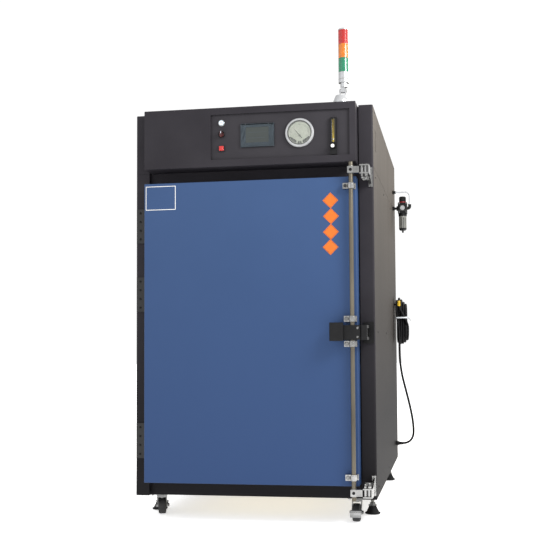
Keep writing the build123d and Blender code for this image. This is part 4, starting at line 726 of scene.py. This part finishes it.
# Air line: black elbow with brass and white rings, pale tube bent over to the panel fitting
lineX, lineTop, lineBend = unit["lineX"], 1478, 22
elbowRoute = [spot(600.5, uy, unit["port"]), spot(604, uy, unit["port"])]
elbowRoute += [spot(604 + 10 * math.sin(a), uy, unit["port"] + 10 * (1 - math.cos(a)))
               for a in np.linspace(0.25, math.pi / 2, 7)]
elbowRoute.append(spot(lineX, uy, unit["port"] + 21.5))
tubeRoute = [spot(lineX, uy, unit["port"] + 18), spot(lineX, uy, lineTop - lineBend)]
tubeRoute += [spot(lineX - lineBend * (1 - math.cos(a)), uy, lineTop - lineBend * (1 - math.sin(a)))
              for a in np.linspace(0.2, math.pi / 2, 9)]
tubeRoute.append(spot(534, uy, lineTop))
fittingAt = spot(520, uy, lineTop)
makePiece("airTubeRun", [(tube(tubeRoute, 0.004, 16), "airTube")], "cabinet", ["air_line"])
makePiece("airFittings", [
    (tube(elbowRoute, 0.0086, 24), "blackPlastic"),
    (lathe([(9.2, 0), (9.2, 3.2), (8.4, 3.6)], spot(600.4, uy, unit["port"]), toRight, 6), "yellowZinc"),
    (lathe([(8.2, 0), (8.2, 2.6), (6.4, 3.6), (4.2, 3.6)], spot(lineX, uy, unit["port"] + 21.5), upward,
           32),
     "tieWhite"),
    (lathe([(9.6, 0.1), (9.9, 0.6), (9.9, 9.4), (9.4, 10.0), (8.2, 10.2), (8.2, 16.0), (7.4, 17.2),
            (4.2, 17.8)],
           fittingAt, toRight, 6), "blackPlastic"),
    (lathe([(8.0, 10.0), (8.2, 11.0), (8.2, 16.2), (7.2, 17.6), (4.2, 17.9)], fittingAt, toRight, 32),
     "inkBlack"),
    (lathe([(6.6, -6), (6.7, 0.2)], fittingAt, toRight, 24), "zinc"),
], "cabinet")
print("regulator and air line made")

# Tower light: ribbed lenses with dark seams, hinge screw and housing groove
tower = {"x": 404, "y": -38, "lensLow": 1780, "lensHeight": 60}
for tier, (nodeName, finishName, slotName) in enumerate((("lens_green", "greenLens", "lens_green_plastic"),
                                                         ("lens_amber", "amberLens", "lens_amber_plastic"),
                                                         ("lens_red", "redLens", "lens_red_plastic"))):
    ridges = [(21.4, 0.3), (22.2, 0.5)]
    for step in range(14):
        base = 2.0 + step * 4
        ridges += [(22.15, base), (22.15, base + 3.0), (21.6, base + 3.4), (21.6, base + 3.7)]
    ridges += [(22.15, 58.4), (22.2, 59.5), (21.4, 59.8)]
    makePiece(nodeName.replace("lens_", "ribbedLens_"),
              [(lathe(ridges, spot(tower["x"], tower["y"],
                                   tower["lensLow"] + tier * tower["lensHeight"]), upward, 56),
                finishName)], "tower_light", [nodeName])
seamShells = [(lathe([(21.2, -0.5), (21.5, -0.4), (21.5, 0.4), (21.2, 0.5)],
                     spot(tower["x"], tower["y"], tower["lensLow"] + tier * tower["lensHeight"]),
                     upward, 48),
               "inkBlack") for tier in range(4)]
seamShells.append((lathe([(22.25, -30), (22.5, -29.4), (22.5, -28.4), (22.25, -27.8)],
                         spot(tower["x"], tower["y"], tower["lensLow"]), upward, 56), "greyGuard"))
makePiece("towerSeams", seamShells, "tower_light")
baseShells = [(screwHead(393 + 26 * math.cos(a), -38 + 26 * math.sin(a), 1662.4, upward, 3.4, 1.6), "zinc")
              for a in (0.9, 2.3, 4.0, 5.4)]
for end, reach in ((-1, 388.6), (1, 411.4)):
    baseShells.append((hexHead(reach, -38, 1702, (end, 0, 0), 6.5, 4.0), "zinc"))
makePiece("towerScrews", baseShells, "cabinet")
print("tower light made")

# Cord: control points from the gland up to the hank, then stadium-shaped turns pinched by one tie:
# y is moved inward by pinch * exp(-((z - tieZ) / pinchReach)^2) * tanh((y - middleY) / pinchSoft)
cord = {"diameter": 0.012, "length": 3.59, "wallX": 520, "middleY": 1232, "layer": 12, "step": 24,
        "tieZ": 785,
        "pinch": 6, "pinchReach": 34, "pinchSoft": 15, "freeBelow": 640, "drift": 14, "frontLow": 700,
        "enterD": 30}
cordTurns = [(16, 880, 650, 46), (28, 892, 643, 46), (40, 882, 645, 46), (52, 869, 652, 46),
             (64, 858, 664, 47)]
routeStart = [(20, 1230, 98), (46, 1230, 98), (68, 1230, 104), (86, 1230, 119), (96, 1230, 142),
              (98, 1230, 170),
              (96, 1230, 203), (91, 1230, 243), (79, 1230, 305), (58, 1229, 392), (40, 1224, 465),
              (31, 1213, 530),
              (29, 1197, 590), (30, 1181, 640), (30, 1174, 690)]
routeEnd = [(77.5, 1174.5, 738), (70, 1173, 762), (58, 1170, 788), (44, 1168, 812), (34, 1167, 834),
            (30, 1166.7, 850), (30, 1166.7, 862)]
wallX = cord["wallX"]
glandAt = spot(wallX, 1230, 98)
middleY = cord["middleY"]
hankPoints = list(routeStart)
frontLow = cord["frontLow"]
for index, (d, apex, low, radius) in enumerate(cordTurns):
    first, last = index == 0, index == len(cordTurns) - 1
    nextD = d + cord["drift"] if last else cordTurns[index + 1][0]
    topLayer = cord["layer"] / 2 if first else 0
    lowLayer = cord["layer"] / 2 if last else 0
    topRadius, lowRadius = radius + topLayer, radius + lowLayer
    topZ, lowZ = apex - topRadius, low + lowRadius
    count = max(2, round((topZ - frontLow) / cord["step"]))
    for i in range(1, count):
        t = i / count
        runD = cord["enterD"] + (d - cord["enterD"]) * t * t * (3 - 2 * t) if first else d
        hankPoints.append((runD, middleY - topLayer - topRadius, frontLow + (topZ - frontLow) * t))
    for a in np.linspace(0, math.pi, 7):
        hankPoints.append((d, middleY - topLayer - topRadius * math.cos(a), topZ + topRadius * math.sin(a)))
    count = max(2, round((topZ - lowZ) / cord["step"]))
    for i in range(1, count):
        hankPoints.append((d, middleY + radius, topZ + (lowZ - topZ) * i / count))
    for a in np.linspace(0, math.pi, 7):
        t = (1 - math.cos(a)) / 2
        hankPoints.append((d + (nextD - d) * t, middleY - lowLayer + lowRadius * math.cos(a),
                           lowZ - lowRadius * math.sin(a)))
    frontLow = lowZ
cordPoints = []
for d, y, z in hankPoints:
    near = math.exp(-((z - cord["tieZ"]) / cord["pinchReach"]) ** 2) if z > cord["freeBelow"] else 0
    cordPoints.append(spot(wallX + d,
                           y - cord["pinch"] * near * math.tanh((y - middleY) / cord["pinchSoft"]), z))
cordPoints += [spot(wallX + d, y, z) for d, y, z in routeEnd]
cableCurve = bpy.data.curves.new("powerCord", "CURVE")
cableCurve.dimensions = "3D"
cableCurve.bevel_depth = cord["diameter"] / 2
cableCurve.bevel_resolution = 4
cableCurve.resolution_u = 8
cableCurve.use_fill_caps = True
line = cableCurve.splines.new("NURBS")
line.points.add(len(cordPoints) - 1)
line.points.foreach_set("co", [value for point in cordPoints for value in (*point, 1.0)])
line.order_u = 3
line.use_endpoint_u = True
cableCurve.materials.append(finishes["blackRubber"])
powerCord = bpy.data.objects.new("powerCord", cableCurve)
bpy.context.scene.collection.objects.link(powerCord)
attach(powerCord, "cabinet")
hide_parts("power_cable", "cable_hank")
cableCap = makePiece("cableCap", [
    (lathe([(6.4, 0), (7.6, 0.6), (8.0, 2.0), (8.0, 26.0), (7.2, 28.8), (4.6, 30.0), (0.01, 30.0)],
           spot(wallX + 30, 1166.7, 846), upward, 32), "capYellow"),
    (lathe([(8.05, 5), (8.2, 5.4), (8.2, 7.6), (8.05, 8)], spot(wallX + 30, 1166.7, 846), upward, 32),
     "capYellow"),
], "cabinet", ["cable_end"])

# Tie: a strap whose outline is a rounded box, |x/a|^5 + |y/b|^5 = 1, with its lock and free tail
tie = {"d": 40, "y": 1221, "a": 31.4, "b": 58.2, "z": 785, "height": 7, "thick": 1.3}
tiePoints, tieFaces = [], []
steps = 48
for i in range(steps):
    angle = 2 * math.pi * i / steps
    ca, sa = math.cos(angle), math.sin(angle)
    r = (abs(ca) ** 5 + abs(sa) ** 5) ** -0.2
    for grow in (0, tie["thick"]):
        for dz in (-tie["height"] / 2, tie["height"] / 2):
            tiePoints.append(spot(wallX + tie["d"] + (tie["a"] + grow) * r * ca,
                                  tie["y"] + (tie["b"] + grow) * r * sa,
                                  tie["z"] + dz + 1.5 * sa))
for i in range(steps):
    a, b = 4 * i, 4 * ((i + 1) % steps)
    tieFaces += [(a, a + 1, b + 1, b), (a + 2, b + 2, b + 3, a + 3), (a, b, b + 2, a + 2),
                 (a + 1, a + 3, b + 3, b + 1)]
tail = [(wallX + 73, 1188, 782), (wallX + 84, 1180, 776), (wallX + 94, 1177, 763),
        (wallX + 94, 1178.4, 763),
        (wallX + 84, 1181.6, 776), (wallX + 73, 1189.6, 782)]
cableTie = makePiece("cableTie", [
    ((np.array(tiePoints), tieFaces), "tieWhite"),
    (slab((wallX + 71, 1184, 780), (wallX + 77, 1194, 791)), "tieWhite"),
    (prism([spot(*p) for p in tail], (0, 0, 0.006)), "tieWhite"),
], "cabinet")
makePiece("cableBoot", [
    (lathe([(12.9, 0.1), (13.2, 0.8), (13.2, 7.6), (12.4, 8.4), (11.2, 8.8)], glandAt, toRight, 6),
     "blackPlastic"),
    (lathe([(11.4, 8.0), (11.8, 9.0), (11.6, 15.0), (10.2, 18.4), (9.0, 19.6), (9.0, 24), (8.2, 24.4),
            (8.2, 26.0),
            (8.7, 26.4), (8.7, 29.4), (7.7, 29.8), (7.7, 31.4), (8.2, 31.8), (8.2, 34.8), (7.2, 35.2),
            (7.2, 36.8),
            (7.7, 37.2), (7.7, 40.4), (6.7, 42.0), (6.3, 42.0)], glandAt, toRight, 40), "blackRubber"),
    (lathe([(8.7, -8), (8.7, 0.4)], glandAt, toRight, 24), "blackPlastic"),
], "cabinet", ["cable_gland"])
print("cord made")

# Camera: direction from yaw to the left, pitch upward and a slight roll
view = {"place": (0.7893, -4.374, 0.7409), "yaw": 0.162, "pitch": 0.051, "roll": -0.008, "lens": 58.468,
        "shiftX": -0.0582, "shiftY": 0.0430}
cy, sy = math.cos(view["yaw"]), math.sin(view["yaw"])
cp, sp = math.cos(view["pitch"]), math.sin(view["pitch"])
cr, sr = math.cos(view["roll"]), math.sin(view["roll"])
ahead = Vector((-sy * cp, cy * cp, sp))
across = Vector((cy, sy, 0))
above = across.cross(ahead)
rightward = cr * across + sr * above
upwardView = cr * above - sr * across
cameraData = bpy.data.cameras.new("camera")
cameraData.lens = view["lens"]
cameraData.sensor_width = 36
cameraData.shift_x = view["shiftX"]
cameraData.shift_y = view["shiftY"]
camera = bpy.data.objects.new("camera", cameraData)
camera.matrix_world = Matrix(((rightward.x, upwardView.x, -ahead.x, view["place"][0]),
                              (rightward.y, upwardView.y, -ahead.y, view["place"][1]),
                              (rightward.z, upwardView.z, -ahead.z, view["place"][2]), (0, 0, 0, 1)))
bpy.context.scene.collection.objects.link(camera)
bpy.context.scene.camera = camera

# Floor and light: pale plane, even sky and three soft area lights
floorMesh = bpy.data.meshes.new("studioFloor")
floorMesh.from_pydata([(-30, -30, 0), (30, -30, 0), (30, 30, 0), (-30, 30, 0)], [], [(0, 1, 2, 3)])
floor = bpy.data.objects.new("studioFloor", floorMesh)
bpy.context.scene.collection.objects.link(floor)
makeFinish("paleFloor", {"colour": "ffffff", "tone": "fcfcfc", "mottle": 0.8, "grain": 40.0,
                         "roughness": 0.9,
                         "relief": 0.02, "specular": 0.2, "glow": 0.6})
floorMesh.materials.append(finishes["paleFloor"])


# Area light: a square lamp at a place, turned to face a target
def addLamp(name, place, target, size, power, colour):
    lampData = bpy.data.lights.new(name, "AREA")
    lampData.shape = "RECTANGLE"
    lampData.size, lampData.size_y = size
    lampData.energy = power
    lampData.color = shade(colour)[:3]
    lamp = bpy.data.objects.new(name, lampData)
    lamp.location = place
    lamp.rotation_euler = (Vector(target) - Vector(place)).to_track_quat("-Z", "Y").to_euler()
    bpy.context.scene.collection.objects.link(lamp)


addLamp("keyLamp", (1.6, -1.6, 2.2), (0.5, -0.7, 1.5), (0.8, 0.6), 36, "ffffff")
addLamp("fillLamp", (-2.6, -3.4, 2.4), (0, 0, 0.9), (2.0, 2.0), 10, "f4f6ff")
addLamp("sheenLamp", (2.2, 1.8, 3.3), (0.5, 0.2, 1.6), (1.4, 1.0), 80, "fff6ea")
sky = bpy.data.worlds.new("studioSky")
bpy.context.scene.world = sky
sky.use_nodes = True
skyTree = sky.node_tree
skyTree.nodes.clear()
skyOut = addNode(skyTree, "ShaderNodeOutputWorld", 400, 0)
skyLight = addNode(skyTree, "ShaderNodeBackground", 200, 0, Strength=1.05)
skyLight.inputs["Color"].default_value = (1, 1, 1, 1)
skyTree.links.new(skyLight.outputs["Background"], skyOut.inputs["Surface"])
bpy.context.scene.view_settings.view_transform = "Standard"
print("camera, floor and lights made")
